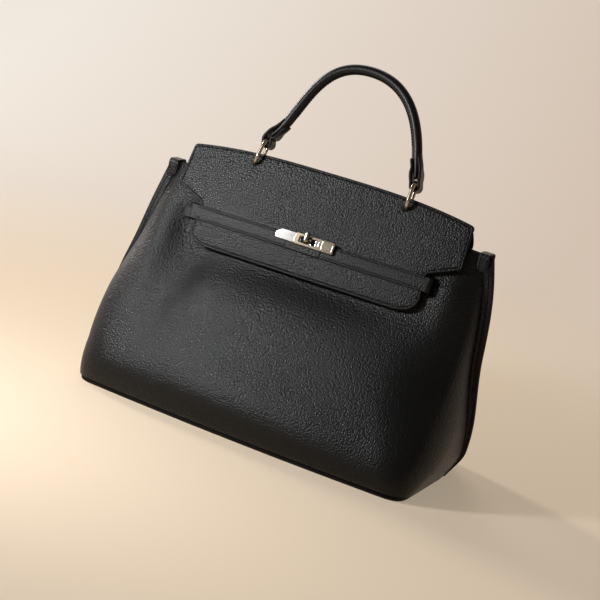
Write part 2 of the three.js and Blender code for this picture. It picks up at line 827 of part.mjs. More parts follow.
function panelFaceAt(height, x) {
  const path = offsetPath(panelPath(height, 1), -bodyLeather / 2);
  const after = path.findIndex((point) => point.x > x);
  const before = path[after - 1];
  const mix = (x - before.x) / (path[after].x - before.x);
  return -THREE.MathUtils.lerp(before.y, path[after].y, mix);
}
const tabFaces = [bodyHeight - tabHeight, bodyHeight].map((height) => panelFaceAt(height, tabInnerX));
const tabSpread = Math.max(...tabFaces) + gap;

function tabSolid(side) {
  const outerHalf = tabSpread + tabThickness;
  const seat = bodyHeight + gap;
  const outline = new THREE.Shape([
    vector(-outerHalf, seat - tabHeight), vector(-tabSpread, seat - tabHeight), vector(-tabSpread, seat),
    vector(tabSpread, seat), vector(tabSpread, seat - tabHeight), vector(outerHalf, seat - tabHeight),
    vector(outerHalf, seat + tabThickness), vector(-outerHalf, seat + tabThickness),
  ]);
  const geometry = new THREE.ExtrudeGeometry(outline, { depth: tabWidth, bevelEnabled: false });
  geometry.rotateX(Math.PI / 2);
  geometry.rotateZ(Math.PI / 2);
  geometry.translate(side > 0 ? tabInnerX : -tabOuterX, 0, 0);
  return geometry;
}
place(bag, 'left_top_tab', tabSolid(-1), blackLeather);
place(bag, 'right_top_tab', tabSolid(1), blackLeather);

// Oval rings through the crown
class OvalLoop extends THREE.Curve {
  getPoint(t, target = new THREE.Vector3()) {
    const arc = Math.PI * ringRadius;
    const length = 2 * (arc + ringStraight);
    let run = t * length;
    if (run < arc) {
      const angle = run / ringRadius;
      return target.set(0, -ringRadius * Math.cos(angle), -ringRadius * Math.sin(angle));
    }
    run -= arc;
    if (run < ringStraight) return target.set(0, ringRadius, run);
    run -= ringStraight;
    if (run < arc) {
      const angle = run / ringRadius;
      return target.set(0, ringRadius * Math.cos(angle), ringStraight + ringRadius * Math.sin(angle));
    }
    return target.set(0, -ringRadius, ringStraight - (run - arc));
  }
}

const ringGroup = new THREE.Group();
ringGroup.position.set(0, crownHalf, ringPivot);
flapPlane.add(ringGroup);
for (const [word, side] of [['left', -1], ['right', 1]]) {
  const wire = new THREE.TubeGeometry(new OvalLoop(), ringSteps, ringWire / 2, tubeSides, true);
  wire.translate(side * ringX, 0, 0);
  place(ringGroup, `ring_${word}`, wire, paleGold);
}

// Handle, hung in the rings by its end loops
const handleGroup = new THREE.Group();
handleGroup.position.set(0, 0, ringStraight);
handleGroup.rotation.x = tilt - THREE.MathUtils.degToRad(handleLean);
ringGroup.add(handleGroup);
// The soft handle slumps to the right, so its right leg stands steeper than its left one
const legLean = (side) => THREE.MathUtils.degToRad(handleLegLean - side * handleSlump);

function loopSolidAround(side) {
  const block = new THREE.BoxGeometry(loopWidth, loopDepth, loopTop - loopFoot);
  block.translate(0, 0, (loopTop + loopFoot) / 2 - ringRadius);
  block.rotateY(-side * legLean(side));
  block.translate(side * ringX, 0, ringRadius);
  const innerRadius = ringInner - gap;
  const outerRadius = ringOuter + gap;
  const halfRoom = ringWire / 2 + gap;
  const profile = [
    vector(innerRadius, -halfRoom), vector(outerRadius, -halfRoom), vector(outerRadius, halfRoom),
    vector(innerRadius, halfRoom), vector(innerRadius, -halfRoom),
  ];
  const room = new THREE.LatheGeometry(profile, ringSteps);
  room.rotateZ(Math.PI / 2);
  room.translate(side * ringX, 0, 0);
  return cutFrom(block, [room]);
}
place(handleGroup, 'handle_loop_left', loopSolidAround(-1), blackLeather);
place(handleGroup, 'handle_loop_right', loopSolidAround(1), blackLeather);

function archLeg(side) {
  const along = new THREE.Vector3(-side * Math.sin(legLean(side)), 0, Math.cos(legLean(side)));
  const end = new THREE.Vector3(side * ringX, 0, ringRadius).addScaledVector(along, loopTop - ringRadius + gap);
  const endPull = end.clone().addScaledVector(along, handleLegPull);
  const topPull = new THREE.Vector3(handleTopShift + side * handleTopPull, 0, handleRise);
  return { end, endPull, topPull };
}
const leftLeg = archLeg(-1);
const rightLeg = archLeg(1);
const archTop = new THREE.Vector3(handleTopShift, 0, handleRise);
const arch = new THREE.CurvePath();
arch.add(new THREE.CubicBezierCurve3(leftLeg.end, leftLeg.endPull, leftLeg.topPull, archTop));
arch.add(new THREE.CubicBezierCurve3(archTop, rightLeg.topPull, rightLeg.endPull, rightLeg.end));

function roundShape(radius) {
  const shape = new THREE.Shape();
  shape.absarc(0, 0, radius, 0, 2 * Math.PI);
  return shape;
}

function handleTube(shape) {
  return new THREE.ExtrudeGeometry(shape, {
    steps: handleSteps, curveSegments: tubeSides / 2, extrudePath: arch,
  });
}
const coverShape = roundShape(handleDiameter / 2);
coverShape.holes.push(roundShape(handleCoreDiameter / 2 + gap));
place(handleGroup, 'handle_cover', handleTube(coverShape), blackLeather);
place(handleGroup, 'handle_core', handleTube(roundShape(handleCoreDiameter / 2)), cordCore);

export default bag;
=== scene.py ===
import math

import bmesh
import bpy
import numpy as np
from mathutils import Matrix, Vector
from mathutils.bvhtree import BVHTree
from mathutils.geometry import delaunay_2d_cdt


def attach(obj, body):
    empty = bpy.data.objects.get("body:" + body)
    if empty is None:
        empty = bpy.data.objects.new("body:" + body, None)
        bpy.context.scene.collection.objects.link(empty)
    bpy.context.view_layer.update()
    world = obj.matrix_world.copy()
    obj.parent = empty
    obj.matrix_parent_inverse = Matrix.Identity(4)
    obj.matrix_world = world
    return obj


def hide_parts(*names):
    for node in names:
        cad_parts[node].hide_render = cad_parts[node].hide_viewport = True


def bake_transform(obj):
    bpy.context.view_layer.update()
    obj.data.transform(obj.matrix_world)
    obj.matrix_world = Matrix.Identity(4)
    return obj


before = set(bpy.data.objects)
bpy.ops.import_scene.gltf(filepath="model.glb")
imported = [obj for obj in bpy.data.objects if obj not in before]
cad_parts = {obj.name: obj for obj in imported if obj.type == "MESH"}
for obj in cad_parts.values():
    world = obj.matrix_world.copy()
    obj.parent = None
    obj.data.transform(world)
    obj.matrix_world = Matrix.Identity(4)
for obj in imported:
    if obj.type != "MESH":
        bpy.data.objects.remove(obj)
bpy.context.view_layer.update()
scene = bpy.context.scene
scene.view_settings.view_transform = "Standard"
mm = 0.001  # shapes below are in millimetres, in the part's frame
bothSides = ((-1, "left"), (1, "right"))
print("frame loaded:", len(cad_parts), "CAD nodes")


def addObject(name, data):
    thing = bpy.data.objects.new(name, data)
    scene.collection.objects.link(thing)
    return thing


# Camera, as the photograph was taken: the bag leans in the picture, so the camera is rolled
cameraFit = {
    "right": (0.8809, 0.4154, 0.2270), "down": (0.2939, -0.1041, -0.9501),
    "ahead": (-0.3710, 0.9037, -0.2138), "place": (561.1, -1376.8, 449.5), "lens": 96.23, "sensor": 36.0,
}


def makeCamera():
    data = bpy.data.cameras.new("camera")
    data.lens = cameraFit["lens"]
    data.sensor_width = cameraFit["sensor"]
    camera = addObject("camera", data)
    axes = [Vector(cameraFit["right"]), -Vector(cameraFit["down"]), -Vector(cameraFit["ahead"])]
    turn = Matrix([axis.normalized() for axis in axes]).transposed().to_4x4()
    camera.matrix_world = Matrix.Translation(Vector(cameraFit["place"]) * mm) @ turn
    scene.camera = camera


makeCamera()


# Shader writing: a socket that takes part in sums, and a finish that makes any node
class Tap:
    def __init__(self, finish, socket):
        self.finish = finish
        self.socket = socket

    def maths(self, operation, first, second):
        return self.finish.node("ShaderNodeMath", {"operation": operation}, {0: first, 1: second})

    def __add__(self, other):
        return self.maths("ADD", self, other)

    def __radd__(self, other):
        return self.maths("ADD", other, self)

    def __sub__(self, other):
        return self.maths("SUBTRACT", self, other)

    def __rsub__(self, other):
        return self.maths("SUBTRACT", other, self)

    def __mul__(self, other):
        return self.maths("MULTIPLY", self, other)

    def __rmul__(self, other):
        return self.maths("MULTIPLY", other, self)


class Finish:
    def __init__(self, name):
        self.material = bpy.data.materials.new(name)
        self.material.use_nodes = True
        self.tree = self.material.node_tree
        self.tree.nodes.clear()
        self.place = self.node("ShaderNodeTexCoord", output="Object")

    def node(self, kind, settings=None, sockets=None, output=0):
        made = self.tree.nodes.new(kind)
        for key, value in (settings or {}).items():
            setattr(made, key, value)
        for key, value in (sockets or {}).items():
            if isinstance(value, Tap):
                self.tree.links.new(value.socket, made.inputs[key])
            else:
                made.inputs[key].default_value = value
        return Tap(self, made.outputs[output] if made.outputs else None)

    def noise(self, place, scale, detail=2.0, output="Fac"):
        sockets = {"Vector": place, "Scale": scale, "Detail": detail}
        return self.node("ShaderNodeTexNoise", None, sockets, output)

    def cells(self, place, scale, feature, loose):
        sockets = {"Vector": place, "Scale": scale, "Randomness": loose}
        return self.node("ShaderNodeTexVoronoi", {"feature": feature}, sockets, "Distance")

    def ramp(self, value, top=1.0):
        made = self.node("ShaderNodeValToRGB", None, {"Fac": value})
        made.socket.node.color_ramp.elements[1].position = top
        return made

    def part(self, vector, axis):
        return self.node("ShaderNodeSeparateXYZ", None, {"Vector": vector}, axis)

    def between(self, share, first, second):
        ends = [end if isinstance(end, Tap) else (*end, 1) for end in (first, second)]
        sockets = {"Factor": share, 6: ends[0], 7: ends[1]}
        return self.node("ShaderNodeMix", {"data_type": "RGBA"}, sockets, 2)

    def surface(self, colour, rough, height, bump, others):
        sockets = {"Height": height, "Strength": bump[0], "Distance": bump[1]}
        normal = self.node("ShaderNodeBump", None, sockets)
        sockets = {"Base Color": colour, "Roughness": rough, "Normal": normal, **others}
        return self.ending(self.node("ShaderNodeBsdfPrincipled", None, sockets))

    def ending(self, shader):
        self.node("ShaderNodeOutputMaterial", None, {"Surface": shader})
        return self.material


leatherLooks = {
    "pebbled_leather": {"grain": 490.0, "relief": 0.00031, "rough": 0.27,
                        "dark": (0.0028, 0.0027, 0.0027), "light": (0.0068, 0.0065, 0.0064)},
    "belt_leather": {"grain": 530.0, "relief": 0.00026, "rough": 0.30,
                     "dark": (0.0028, 0.0027, 0.0027), "light": (0.0064, 0.0061, 0.0060)},
    "handle_leather": {"grain": 900.0, "relief": 0.00006, "rough": 0.27,
                       "dark": (0.0032, 0.0030, 0.0029), "light": (0.0070, 0.0066, 0.0063)},
}
grainForm = {"wobble": 0.45, "loose": 0.8, "furrow": 0.30, "pores": 3.4, "patches": 26.0, "specular": 0.22}


# Pebbled grain: round domes between shallow furrows, with pores and broad tonal patches
def leatherFinish(name):
    look, form = leatherLooks[name], grainForm
    finish = Finish(name)
    wobble = finish.noise(finish.place, look["grain"] * form["wobble"], 2.0, "Color")
    sockets = {0: wobble, 1: (form["wobble"] / look["grain"],) * 3, 2: finish.place}
    bent = finish.node("ShaderNodeVectorMath", {"operation": "MULTIPLY_ADD"}, sockets)
    pebbles = finish.cells(bent, look["grain"], "F1", form["loose"])
    gaps = finish.cells(bent, look["grain"], "DISTANCE_TO_EDGE", form["loose"])
    furrows = finish.ramp(gaps, form["furrow"])
    pores = finish.noise(finish.place, look["grain"] * form["pores"])
    patches = finish.noise(finish.place, form["patches"], 3.0)
    height = (1 - pebbles * pebbles * 1.5) * 0.8 + furrows * 0.22 + pores * 0.07
    # colour: the broad patches are random tone; the darker colour down in the furrows is painted shade in
    # the grain's hollows
    colour = finish.between(patches * 0.55 + furrows * 0.45, look["dark"], look["light"])
    rough = look["rough"] + (1 - furrows) * 0.16 + (patches - 0.5) * 0.10 + (pores - 0.5) * 0.08
    others = {"Specular IOR Level": form["specular"]}
    return finish.surface(colour, rough, height, (1.0, look["relief"]), others)


plainLooks = {
    "painted_edge": {"fine": 900.0, "broad": 60.0, "detail": 3.0, "dark": (0.0022, 0.0020, 0.0020),
                     "light": (0.0060, 0.0056, 0.0054), "rough": 0.42, "byFine": 0.0, "byBroad": 0.18,
                     "bump": (0.22, 0.00012), "specular": 0.16},
    "waxed_thread": {"fine": 2600.0, "broad": 140.0, "detail": 2.0, "dark": (0.0018, 0.0017, 0.0017),
                     "light": (0.0044, 0.0041, 0.0040), "rough": 0.62, "byFine": 0.2, "byBroad": 0.0,
                     "bump": (0.5, 0.00010), "specular": 0.08},
    "grey_board": {"fine": 600.0, "broad": 600.0, "detail": 4.0, "dark": (0.055, 0.050, 0.046),
                   "light": (0.090, 0.084, 0.078), "rough": 0.75, "byFine": 0.2, "byBroad": 0.0,
                   "bump": (0.5, 0.0002), "specular": 0.5},
    "core_cotton": {"fine": 900.0, "broad": 900.0, "detail": 4.0, "dark": (0.24, 0.21, 0.18),
                    "light": (0.42, 0.38, 0.32), "rough": 0.75, "byFine": 0.2, "byBroad": 0.0,
                    "bump": (0.5, 0.0002), "specular": 0.5},
}


# Fine relief over a broad change of tone: edge paint, thread, board and cotton
def plainFinish(name):
    look = plainLooks[name]
    finish = Finish(name)
    fine = finish.noise(finish.place, look["fine"], look["detail"])
    broad = finish.noise(finish.place, look["broad"], look["detail"])
    colour = finish.between(broad, look["dark"], look["light"])
    rough = look["rough"] + fine * look["byFine"] + broad * look["byBroad"]
    return finish.surface(colour, rough, fine, look["bump"], {"Specular IOR Level": look["specular"]})


twillLook = {"warp": 5200.0, "weft": 2600.0, "slub": 180.0, "dark": (0.060, 0.050, 0.043),
             "light": (0.118, 0.098, 0.084), "rough": 0.78, "bump": (0.5, 0.00012), "sheen": 0.2}


def clothFinish():
    look = twillLook
    finish = Finish("lining_twill")
    across, depth, rise = (finish.part(finish.place, axis) for axis in "XYZ")
    warp = finish.node("ShaderNodeMath", {"operation": "SINE"}, {0: (across + rise + depth) * look["warp"]})
    weft = finish.node("ShaderNodeMath", {"operation": "SINE"}, {0: (across - rise - depth) * look["weft"]})
    slub = finish.noise(finish.place, look["slub"], 3.0)
    weave = warp * 0.3 + weft * 0.2 + slub * 0.5
    colour = finish.between(weave * 0.5 + 0.4, look["dark"], look["light"])
    rough = look["rough"] + slub * 0.15
    return finish.surface(colour, rough, weave, look["bump"], {"Sheen Weight": look["sheen"]})


metalLooks = {
    "pale_gold": {"pale": (0.46, 0.385, 0.30), "deep": (0.40, 0.33, 0.245), "rough": 0.14},
    "silver_plate": {"pale": (0.38, 0.365, 0.35), "deep": (0.33, 0.32, 0.305), "rough": 0.145},
}
brushForm = {"cloud": 220.0, "hairs": (220.0, 2600.0, 2600.0), "bump": (0.03, 0.00003)}


# Polished metal with a faint cloud and fine hair lines
def metalFinish(name):
    look = metalLooks[name]
    finish = Finish(name)
    cloud = finish.noise(finish.place, brushForm["cloud"], 3.0)
    drawn = finish.node("ShaderNodeMapping", None, {"Vector": finish.place, "Scale": brushForm["hairs"]})
    hairs = finish.noise(drawn, 1.0, 3.0)
    colour = finish.between(cloud, look["deep"], look["pale"])
    rough = look["rough"] + cloud * 0.03 + hairs * 0.02
    return finish.surface(colour, rough, hairs, brushForm["bump"], {"Metallic": 1.0})


bodyLeather, beltLeather, handleLeather = (leatherFinish(name) for name in leatherLooks)
paintedEdge, waxedThread, stiffBoard, coreCotton = (plainFinish(name) for name in plainLooks)
liningTwill = clothFinish()
paleGold, palladium = (metalFinish(name) for name in metalLooks)
edgedBody = [bodyLeather, paintedEdge]
edgedBelt = [beltLeather, paintedEdge]
edgedHandle = [handleLeather, paintedEdge]
print("finishes made")


# Mesh helpers: points in millimetres
def unit(vectors):
    return vectors / np.maximum(np.linalg.norm(vectors, axis=1, keepdims=True), 1e-12)


def ringAngles(count):
    return np.arange(count) * 2 * math.pi / count


def flipped(faces, when=True):
    return [face[::-1] for face in faces] if when else faces


def gridFaces(rows, columns, closed=False, looped=False):
    faces = []
    for row in range(rows if looped else rows - 1):
        low, high = row * columns, (row + 1) % rows * columns
        for column in range(columns if closed else columns - 1):
            after = (column + 1) % columns
            faces.append((low + column, low + after, high + after, high + column))
    return faces


# A tube of rings, capped at both ends
def tubeFaces(rows, columns):
    last = (rows - 1) * columns
    return gridFaces(rows, columns, True) + [tuple(range(columns))[::-1], tuple(range(last, last + columns))]


def vertexNormals(points, faces):
    normals = np.zeros_like(points)
    for face in faces:
        corners = points[list(face)]
        turn = np.cross(corners[1] - corners[0], corners[2] - corners[0])
        if len(face) == 4:
            turn = turn + np.cross(corners[2] - corners[0], corners[3] - corners[0])
        for index in face:
            normals[index] += turn
    return unit(normals)


def boundaryLoops(faces):
    paired = {pair for face in faces for pair in zip(face, (*face[1:], face[0]))}
    following = {first: second for first, second in paired if (second, first) not in paired}
    loops = []
    while following:
        start = min(following)
        loop = [start]
        step = following.pop(start)
        while step != start:
            loop.append(step)
            step = following.pop(step)
        loops.append(loop)
    return loops


def rimStrip(first, second):
    ahead = [*range(1, len(first)), 0]
    return [(first[after], first[step], second[step], second[after]) for step, after in enumerate(ahead)]


# A sheet with two faces and a rounded rim, from its middle surface
def thickSheet(points, faces, thickness, bulge, rimSteps=4):
    points = np.asarray(points, float)
    normals = vertexNormals(points, faces)
    half = thickness / 2
    count = len(points)
    verts = [points + normals * half, points - normals * half]
    made = [tuple(face) for face in faces]
    made += [tuple(index + count for index in reversed(face)) for face in faces]
    rimStart = len(made)
    total = 2 * count
    for loop in boundaryLoops(faces):
        ring = points[loop]
        ahead = unit(np.roll(ring, -1, axis=0) - ring)
        away = unit(np.cross(ahead + np.roll(ahead, 1, axis=0), normals[loop]))
        previous = list(loop)
        for step in range(1, rimSteps + 1):
            angle = math.pi * step / (rimSteps + 1)
            verts.append(ring + normals[loop] * half * math.cos(angle) + away * bulge * math.sin(angle))
            current = list(range(total, total + len(loop)))
            total += len(loop)
            made += rimStrip(previous, current)
            previous = current
        made += rimStrip(previous, [index + count for index in loop])
    return np.vstack(verts), made, rimStart


def newObject(name, points, faces, materials, edgeFrom=None):
    mesh = bpy.data.meshes.new(name)
    mesh.from_pydata((np.asarray(points) * mm).tolist(), [], [tuple(int(i) for i in face) for face in faces])
    for material in materials:
        mesh.materials.append(material)
    mesh.polygons.foreach_set("use_smooth", np.ones(len(mesh.polygons), bool))
    if edgeFrom is not None:
        index = np.zeros(len(mesh.polygons), np.int32)
        index[edgeFrom:] = 1
        mesh.polygons.foreach_set("material_index", index)
    work = bmesh.new()
    work.from_mesh(mesh)
    bmesh.ops.recalc_face_normals(work, faces=work.faces)
    work.to_mesh(mesh)
    work.free()
    return addObject(name, mesh)


def carry(piece, body, slot, *nodes):
    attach(piece, body)
    if nodes:
        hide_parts(*nodes)


def sheetPiece(name, points, faces, thickness, bulge, materials):
    verts, made, rimStart = thickSheet(points, faces, thickness, bulge)
    return newObject(name, verts, made, materials, rimStart if len(materials) > 1 else None)


def mergedMeshes(parts):
    points, faces, start = [], [], 0
    for partPoints, partFaces in parts:
        points.append(np.asarray(partPoints, float))
        faces += [tuple(index + start for index in face) for face in partFaces]
        start += len(partPoints)
    return np.vstack(points), faces


# Takes one mesh out of another, for slits
def cutAway(piece, cutter):
    modifier = piece.modifiers.new("cut", "BOOLEAN")
    modifier.operation = "DIFFERENCE"
    modifier.solver = "EXACT"
    modifier.object = cutter
    graph = bpy.context.evaluated_depsgraph_get()
    cut = bpy.data.meshes.new_from_object(piece.evaluated_get(graph))
    piece.modifiers.clear()
    piece.data = cut
    bpy.data.objects.remove(cutter)


# Plain geometry of paths
def pathLengths(path):
    return np.concatenate([[0], np.cumsum(np.linalg.norm(np.diff(path, axis=0), axis=1))])


def pointsAt(path, lengths, places):
    return np.stack([np.interp(places, lengths, path[:, axis]) for axis in range(path.shape[1])], axis=1)


def resample(path, spacing):
    path = np.asarray(path, float)
    lengths = pathLengths(path)
    count = max(int(round(lengths[-1] / spacing)), 2)
    return pointsAt(path, lengths, np.linspace(0, lengths[-1], count + 1))


def closedResample(loop, spacing):
    return resample(np.vstack([loop, loop[:1]]), spacing)[:-1]


def bezier(points, count):
    share = np.linspace(0, 1, count)[:, None]
    points = [np.asarray(point, float) for point in points]
    while len(points) > 1:
        points = [first * (1 - share) + second * share for first, second in zip(points, points[1:])]
    return points[0]


def blendStep(value, low, high):
    share = np.clip((value - low) / (high - low), 0, 1)
    return share * share * (3 - 2 * share)


# The direction to the left of a flat path, at each of its points
def leftOf(path):
    ahead = unit(np.gradient(path, axis=0))
    return np.column_stack([-ahead[:, 1], ahead[:, 0]])


# A flat outline from corners that each have a radius
def roundCorners(corners):
    path = []
    for index, (x, y, radius) in enumerate(corners):
        here = np.array([x, y], float)
        if radius <= 0:
            path.append(here)
            continue
        ends = []
        for other in (corners[index - 1], corners[(index + 1) % len(corners)]):
            toward = np.array(other[:2], float) - here
            length = np.linalg.norm(toward)
            ends.append(here + toward / length * min(radius, length * 0.48))
        path.extend(bezier([ends[0], here, ends[1]], 6))
    return np.array(path)


# The same from its right half: the left half mirrors it
def mirroredOutline(right):
    return roundCorners(right + [(-x, y, radius) for x, y, radius in right[1:]][::-1])


def boxLoop(left, right, low, high, radius):
    corners = [(left, low), (right, low), (right, high), (left, high)]
    return roundCorners([(x, y, radius) for x, y in corners])


def outlineDistance(points, loop):
    best = np.full(len(points), 1e9)
    for start, step in zip(loop, np.roll(loop, -1, axis=0) - loop):
        share = np.clip(((points - start) @ step) / max((step ** 2).sum(), 1e-12), 0, 1)
        best = np.minimum(best, np.linalg.norm(points - start - share[:, None] * step, axis=1))
    return best


def insideOutline(points, loop):
    inside = np.zeros(len(points), bool)
    for (x1, y1), (x2, y2) in zip(loop, np.roll(loop, -1, axis=0)):
        crosses = (y1 > points[:, 1]) != (y2 > points[:, 1])
        with np.errstate(divide="ignore", invalid="ignore"):
            reach = (x2 - x1) * (points[:, 1] - y1) / (y2 - y1) + x1
        inside ^= crosses & (points[:, 0] < reach)
    return inside


def inset(loop, distance):
    ahead = unit(np.roll(loop, -1, axis=0) - np.roll(loop, 1, axis=0))
    area = 0.5 * np.sum(loop[:, 0] * np.roll(loop[:, 1], -1) - np.roll(loop[:, 0], -1) * loop[:, 1])
    inward = np.stack([-ahead[:, 1], ahead[:, 0]], axis=1) * (1 if area > 0 else -1)
    return loop + inward * distance


cutForm = {"holeSpacing": 0.8, "ringKeep": 0.93, "rowPitch": 0.866, "holeRoom": 0.7}


# Flat cut shapes: triangles inside an outline, with finer rings of points along its edge
def cutShape(outline, holes, edgeSpacing, gridSpacing, rings):
    form = cutForm
    edge = closedResample(np.asarray(outline), edgeSpacing)
    holes = [closedResample(np.asarray(hole), min(edgeSpacing, form["holeSpacing"])) for hole in holes]
    loose = []
    for distance in rings:
        ring = inset(edge, distance)
        keep = outlineDistance(ring, edge) > distance * form["ringKeep"]
        loose.append(ring[keep & insideOutline(ring, edge)])
    low, high = edge.min(0), edge.max(0)
    columns = np.arange(low[0], high[0], gridSpacing)
    rows = np.arange(low[1], high[1], gridSpacing * form["rowPitch"])
    grid = np.array([(x + index % 2 * gridSpacing / 2, y) for index, y in enumerate(rows) for x in columns])
    grid = grid[insideOutline(grid, edge)]
    loose.append(grid[outlineDistance(grid, edge) > max(rings) + gridSpacing * 0.5])
    loose = np.vstack(loose)
    for hole in holes:
        loose = loose[~insideOutline(loose, hole)]
        loose = loose[outlineDistance(loose, hole) > form["holeRoom"]]
    coords, edges = [], []
    for loop in (edge, *holes):
        start = len(coords)
        coords += [Vector(point) for point in loop]
        edges += [(start + step, start + (step + 1) % len(loop)) for step in range(len(loop))]
    coords += [Vector(point) for point in loose]
    verts, _, faces, _, _, _ = delaunay_2d_cdt(coords, edges, [], 1, 1e-7)
    points = np.array([tuple(vert) for vert in verts])
    centres = np.array([points[list(face)].mean(0) for face in faces])
    keep = insideOutline(centres, edge)
    for hole in holes:
        keep &= ~insideOutline(centres, hole)
    return points, [tuple(face) for face, kept in zip(faces, keep) if kept], edge


stitchForm = {
    "pitch": 2.75, "length": 2.05, "radius": 0.50, "slant": 0.13, "sunk": 0.08, "sides": 6, "feel": 0.6,
    "stations": (-1.0, -0.72, -0.3, 0.3, 0.72, 1.0), "girths": (0.35, 0.85, 1.0, 1.0, 0.85, 0.35),
}


# A path on a surface with one facing direction
def facingRun(path, facing):
    return path, np.tile(np.array(facing, float), (len(path), 1))


# Small waxed stitches laid along paths, each given with the surface's facing directions
def stitchPiece(name, runs):
    form = stitchForm
    stations = np.array(form["stations"]) * form["length"] / 2
    radii = np.array(form["girths"]) * form["radius"]
    angles = ringAngles(form["sides"])
    template = tubeFaces(len(stations), form["sides"])
    parts = []
    for path, normals in runs:
        path = np.asarray(path, float)
        lengths = pathLengths(path)
        count = max(int(lengths[-1] / form["pitch"]), 1)
        places = (np.arange(count) + 0.5) * lengths[-1] / count
        centre = pointsAt(path, lengths, places)
        after = pointsAt(path, lengths, np.minimum(places + form["feel"], lengths[-1]))
        tangent = unit(after - pointsAt(path, lengths, np.maximum(places - form["feel"], 0)))
        up = pointsAt(np.asarray(normals, float), lengths, places)
        up = unit(up - tangent * (up * tangent).sum(1, keepdims=True))
        along = tangent * math.cos(form["slant"]) + np.cross(up, tangent) * math.sin(form["slant"])
        across = np.cross(up, along)
        for middle, one, two, three in zip(centre + up * form["sunk"], along, across, up):
            ring = [middle + one * station + radius * (two * math.cos(angle) + three * math.sin(angle))
                    for station, radius in zip(stations, radii) for angle in angles]
            parts.append((np.array(ring), template))
    return newObject(name, *mergedMeshes(parts), [waxedThread])


# The body's form: half depth, half width of the front and of the seam at each height
bodyForm = {
    "height": 218.0, "foot": 4.3, "leather": 2.0, "gap": 0.3, "rows": 64, "rim": 0.9,
    "curves": {
        "depth": [(0, 79), (45, 112), (105, 26), (218, 8)],
        "front": [(0, 172), (60, 202), (140, 184), (218, 146)],
        "seam": [(0, 175), (45, 189), (125, 183), (218, 160)],
        "frontTurn": [(0, 12), (40, 84), (130, 74), (218, 26)],
        "backTurn": [(0, 45), (40, 96), (130, 84), (218, 26)],
        "backIn": [(0, 6), (60, 15), (140, 11), (218, 0)],
        "flange": [(0, 0.6), (40, 2.6), (64, 11.0), (218, 9.5)],
    },
    "lean": {-1: 0.12, 1: -0.06}, "flangeBend": 5.0, "shift": -7.0, "shiftFade": (80, 200),
    "footOut": {-1: (0.0, 0.0), 1: (5.0, 10.0)}, "footFade": (25, 125), "footRound": {-1: 0.0, 1: 8.0},
    "roundFade": 34, "sideIn": {-1: 3.0, 1: 0.5}, "waist": (135, 34),
    "skew": 0.04, "bow": 6.0, "bowHalf": 172, "pushFade": (5, 105), "stillEdge": (14, 10),
}


def curveTable(points):
    line = bezier(points, 401)
    return lambda place: np.interp(place, line[:, 0], line[:, 1])


(halfDepth, frontHalf, seamHalf, frontTurn, backTurn, backIn,
 flangeReach) = (curveTable(points) for points in bodyForm["curves"].values())


# The soft body has settled a little to the left below its top
def sideShift(height):
    return bodyForm["shift"] * (1 - blendStep(height, *bodyForm["shiftFade"]))


# How far forward the seam runs at a height, on the left or the right
def seamLean(height, across):
    return bodyForm["lean"][across] * (bodyForm["height"] - height)


# How much further out the corner and the seam stand on the left or the right
def sideReach(height, across):
    form = bodyForm
    low = 1 - blendStep(height, *form["footFade"])
    waist, spread = form["waist"]
    drawn = form["sideIn"][across] * math.exp(-((height - waist) / spread) ** 2)
    cornerOut, seamOut = (out * low - drawn for out in form["footOut"][across])
    return cornerOut, seamOut - form["footRound"][across] * (1 - blendStep(height, 0, form["roundFade"]))


# Points from a start, which is left out, to an end
def evenSteps(start, end, count):
    return [start + (end - start) * step / count for step in range(1, count + 1)]


# Half of a plan section: the front or back, its rounded corner, the side and the seam's flange
def planHalf(height, facing, across, insetBy, seamInset, flange):
    form = bodyForm
    seamDepth = facing * seamLean(height, across)
    if flange:
        seamDepth += form["gap"] / 2 + form["leather"] / 2
    drawnIn = backIn(height) if facing < 0 else 0.0
    cornerOut, seamOut = sideReach(height, across)
    corner = np.array([frontHalf(height) + cornerOut - seamInset - drawnIn, insetBy - halfDepth(height)])
    seam = np.array([seamHalf(height) + seamOut - seamInset, -seamDepth])
    wall = seam - corner
    span = np.linalg.norm(wall)
    turn = float(frontTurn(height) if facing > 0 else backTurn(height))
    start = np.array([corner[0] - turn, corner[1]])
    end = corner + wall / span * min(turn, span * 0.85)
    path = [np.array([start[0] * step / 30, start[1]]) for step in range(30)]
    path += list(bezier([start, corner, end], 22))
    if not flange:
        return np.array(path + evenSteps(end, seam, 12))
    reach = float(flangeReach(height))
    bend = min(form["flangeBend"], reach * 0.7, np.linalg.norm(seam - end) * 0.8)
    bendStart = seam - wall / span * bend
    bendEnd = seam + np.array([bend, 0])
    tip = seam + np.array([max(reach - form["leather"] / 2, bend + 0.3), 0])
    path += evenSteps(end, bendStart, 12)[:-1]
    path += list(bezier([bendStart, seam, bendEnd], 8))
    return np.array(path + evenSteps(bendEnd, tip, 3))


# How far the front's foot is pushed forward, more on the right than on the left
def footPush(x, height):
    form = bodyForm
    half = form["bowHalf"]
    push = form["skew"] * (x + half) + form["bow"] * (1 - np.clip(x / half, -1, 1) ** 2)
    return push * (1 - blendStep(height, *form["pushFade"]))


# A whole plan section from the left seam to the right one
def planLine(height, facing, insetBy, seamInset=0.0, flange=True):
    left = planHalf(height, facing, -1, insetBy, seamInset, flange)[1:][::-1] * np.array([-1, 1])
    line = np.vstack([left, planHalf(height, facing, 1, insetBy, seamInset, flange)])
    if facing > 0:
        line[:, 1] -= footPush(line[:, 0], height) * np.clip(-line[:, 1] / halfDepth(height), 0, 1)
    return line * np.array([1, facing]) + np.array([sideShift(height), 0])


# A closed plan section: front and back together
def planLoop(height, insetBy, seamInset):
    front = planLine(height, 1, insetBy, seamInset, False)
    back = planLine(height, -1, insetBy, seamInset, False)
    return np.vstack([front, back[1:-1][::-1]])


